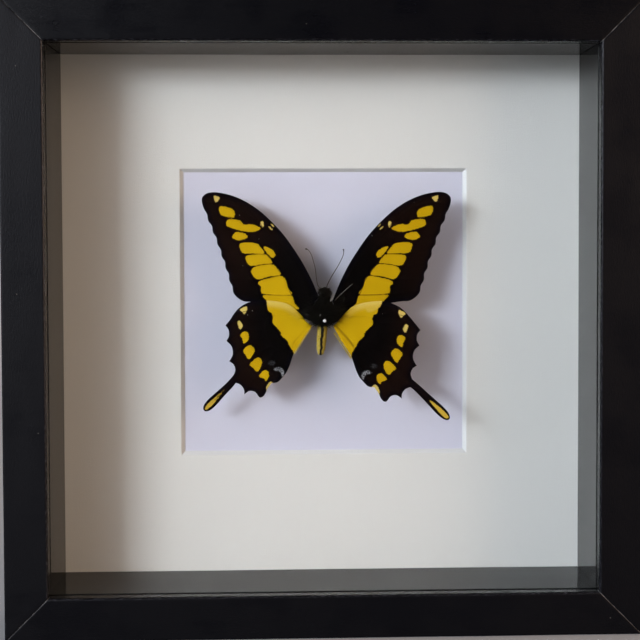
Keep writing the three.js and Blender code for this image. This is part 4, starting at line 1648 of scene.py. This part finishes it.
def add_light(name, place, target, wide, high, power, tint):
    """A soft rectangular light."""
    data = bpy.data.lights.new(name, "AREA")
    data.shape = "RECTANGLE"
    data.size = wide
    data.size_y = high
    data.energy = power
    data.color = tint
    light = bpy.data.objects.new(name, data)
    light.location = place
    aim = Vector(target) - Vector(place)
    light.rotation_euler = aim.to_track_quat("-Z", "Y").to_euler()
    light.visible_transmission = False
    bpy.context.scene.collection.objects.link(light)


def make_world(settings):
    """Warm light all round, kept out of mirror reflections."""
    world = bpy.data.worlds.new("soft_room")
    bpy.context.scene.world = world
    world.use_nodes = True
    background = world.node_tree.nodes["Background"]
    background.inputs["Color"].default_value = (1.0, 0.8, 0.62, 1.0)
    background.inputs["Strength"].default_value = settings.room_strength
    world.cycles_visibility.glossy = False
    world.cycles_visibility.transmission = False


def make_camera():
    """The camera, a little left of the frame's middle and level with it."""
    data = bpy.data.cameras.new("camera")
    data.sensor_width = 36
    data.lens = 58.506
    data.shift_y = -0.094
    data.clip_start = 0.02
    data.clip_end = 20
    camera = bpy.data.objects.new("camera", data)
    camera.location = (-0.012611, -0.42542, 0.159862)
    camera.rotation_euler = (math.radians(88.38483), math.radians(0.19169),
                             math.radians(-1.53581))
    bpy.context.scene.collection.objects.link(camera)
    bpy.context.scene.camera = camera


# ------------------------------------------------------------------ operators


def finish_named(name, make, *details):
    """The material of that name, made once."""
    return bpy.data.materials.get(name) or make(*details)


class SPECIMEN_OT_rails(bpy.types.Operator):
    """Builds the four wrapped rails"""

    bl_idname = "specimen.rails"
    bl_label = "Frame rails"

    def execute(self, context):
        settings = context.scene.specimen_frame
        finish = finish_named("black_rail_wrap", rail_finish, settings)
        for turn in range(4):
            make_rail(turn, finish, settings)
        return {"FINISHED"}


class SPECIMEN_OT_glass(bpy.types.Operator):
    """Builds the sheet of glass"""

    bl_idname = "specimen.glass"
    bl_label = "Glass"

    def execute(self, context):
        finish = finish_named("clear_sheet_glass", glass_finish)
        make_sheet("glass_pane", "glazing", finish, 0.3, 30)
        return {"FINISHED"}


class SPECIMEN_OT_spacers(bpy.types.Operator):
    """Builds the black strips that line the box"""

    bl_idname = "specimen.spacers"
    bl_label = "Spacer strips"

    def execute(self, context):
        for side in SIDES:
            make_spacer(side, finish_named(f"black_spacer_foil_{side}", spacer_finish, side))
        return {"FINISHED"}


class SPECIMEN_OT_sheets(bpy.types.Operator):
    """Builds the mat, backdrop, foam and back board"""

    bl_idname = "specimen.sheets"
    bl_label = "Mat and boards"

    def execute(self, context):
        settings = context.scene.specimen_frame
        make_mat(finish_named("off_white_mat_card", card_finish, settings))
        paper = finish_named("lavender_backdrop_paper", paper_finish, settings)
        make_sheet("backdrop_paper_sheet", "backdrop_sheet", paper, 0.15, 6)
        foam = finish_named("pinning_foam", foam_finish)
        make_sheet("pinning_foam_slab", "pinning_board", foam, 0.25, 12)
        board = finish_named("pressed_hardboard", hardboard_finish, settings)
        make_sheet("hardboard_back", "backing_board", board, 0.25, 8)
        return {"FINISHED"}


class SPECIMEN_OT_fittings(bpy.types.Operator):
    """Builds the steel tongues and finishes the hanger on the back"""

    bl_idname = "specimen.fittings"
    bl_label = "Back fittings"

    def execute(self, context):
        finish = finish_named("zinc_plated_steel", steel_finish)
        for turn in range(4):
            for number in (1, 2):
                make_tab(turn, number, finish)
        for side in ("left", "right"):
            make_rivet(side, finish)
        plate = frame["nodes"]["hanger_plate"]
        plate.data.materials.clear()
        plate.data.materials.append(finish)
        bevel = plate.modifiers.new("softened edges", "BEVEL")
        bevel.width = 0.12 * MM
        bevel.segments = 2
        bevel.limit_method = "ANGLE"
        bevel.angle_limit = math.radians(30)
        return {"FINISHED"}


class SPECIMEN_OT_wings(bpy.types.Operator):
    """Builds the four wings"""

    bl_idname = "specimen.wings"
    bl_label = "Wings"

    def execute(self, context):
        settings = context.scene.specimen_butterfly
        finish = finish_named("butterfly_wing_scales", wing_finish, settings)
        for wing in WINGS:
            wing.flat_outline = wing.outline()
            make_wing(wing, finish, settings)
        return {"FINISHED"}


class SPECIMEN_OT_body(bpy.types.Operator):
    """Builds the body, its eyes, hair and antennae"""

    bl_idname = "specimen.body"
    bl_label = "Body and antennae"

    def execute(self, context):
        settings = context.scene.specimen_butterfly
        make_body(finish_named("body_chitin", body_finish))
        make_eyes(finish_named("compound_eye", eye_finish))
        black = finish_named("black_hair", hair_finish, "black_hair",
                             (0.0012, 0.001, 0.001), (0.018, 0.0145, 0.007), 0.7)
        yellow = finish_named("yellow_hair", hair_finish, "yellow_hair",
                              (0.36, 0.24, 0.02), (0.8, 0.66, 0.19), 0.7)
        make_thorax_hair(black, settings)
        make_root_tufts(black, settings)
        make_abdomen_hair(yellow, settings)
        make_wing_root_hair(black, True)
        make_wing_root_hair(yellow, False)
        horn = finish_named("antenna_horn", horn_finish)
        for side in ("left", "right"):
            make_antenna(side, horn)
        return {"FINISHED"}


class SPECIMEN_OT_pin(bpy.types.Operator):
    """Builds the pin, the lint that has settled on the specimen, and a painted glint on the thorax
    """

    bl_idname = "specimen.pin"
    bl_label = "Pin, lint and painted glint"

    def execute(self, context):
        make_pin(finish_named("specimen_pin", pin_finish))
        make_lint_and_glint(finish_named("pale_dust_and_painted_glint", dust_and_glint_finish))
        return {"FINISHED"}


class SPECIMEN_OT_stage(bpy.types.Operator):
    """Builds the floor, lights and camera"""

    bl_idname = "specimen.stage"
    bl_label = "Stage"

    def execute(self, context):
        settings = context.scene.specimen_stage
        make_floor(settings)
        make_world(settings)
        daylight = (0.86, 0.89, 0.98)
        middle = (0, 0.01, MIDDLE * MM)
        add_light("wide window pane", (-2.18, -1.91, 0.84), middle, 0.67, 0.6,
                  settings.window_power * 0.71, daylight)
        add_light("narrow window pane", (-1.83, -2.25, 0.84), middle, 0.21, 0.6,
                  settings.window_power * 0.29, daylight)
        add_light("room side", (1.9, -0.9, 0.5), middle, 1.4, 1.4, 27, (1.0, 0.71, 0.53))
        add_light("ceiling", (0.1, 0.3, 1.9), (0, 0.1, 0.2), 1.6, 1.2, 1.2, (1.0, 0.97, 0.92))
        make_camera()
        context.scene.view_settings.view_transform = "Standard"
        context.scene.view_settings.look = "None"
        return {"FINISHED"}


class SPECIMEN_PT_pieces(bpy.types.Panel):
    """Lists the pieces and their settings"""

    bl_label = "Framed specimen"
    bl_idname = "SPECIMEN_PT_pieces"
    bl_space_type = "VIEW_3D"
    bl_region_type = "UI"
    bl_category = "Specimen"

    def draw(self, context):
        for operator in OPERATORS:
            self.layout.operator(operator.bl_idname)
        for key in ("specimen_frame", "specimen_butterfly", "specimen_stage"):
            group = getattr(context.scene, key)
            box = self.layout.box()
            for name in group.__annotations__:
                box.prop(group, name)


OPERATORS = (
    SPECIMEN_OT_rails,
    SPECIMEN_OT_glass,
    SPECIMEN_OT_spacers,
    SPECIMEN_OT_sheets,
    SPECIMEN_OT_fittings,
    SPECIMEN_OT_wings,
    SPECIMEN_OT_body,
    SPECIMEN_OT_pin,
    SPECIMEN_OT_stage,
)
CLASSES = (FrameSettings, ButterflySettings, StageSettings, *OPERATORS, SPECIMEN_PT_pieces)


def register():
    """Makes the settings, operators and panel known to Blender."""
    for each in CLASSES:
        bpy.utils.register_class(each)
    scene = bpy.types.Scene
    scene.specimen_frame = bpy.props.PointerProperty(type=FrameSettings)
    scene.specimen_butterfly = bpy.props.PointerProperty(type=ButterflySettings)
    scene.specimen_stage = bpy.props.PointerProperty(type=StageSettings)


def unregister():
    """Takes them away again."""
    del bpy.types.Scene.specimen_stage
    del bpy.types.Scene.specimen_butterfly
    del bpy.types.Scene.specimen_frame
    for each in reversed(CLASSES):
        bpy.utils.unregister_class(each)


def clear_scene():
    """Removes what a new file holds, but not the CAD frame."""
    for found in list(bpy.data.objects):
        if found.name in ("Cube", "Light", "Camera"):
            bpy.data.objects.remove(found)


def main():
    """Builds everything."""
    register()
    clear_scene()
    make_groups()
    for operator in OPERATORS:
        family, name = operator.bl_idname.split(".")
        getattr(getattr(bpy.ops, family), name)()


if __name__ == "__main__":
    main()
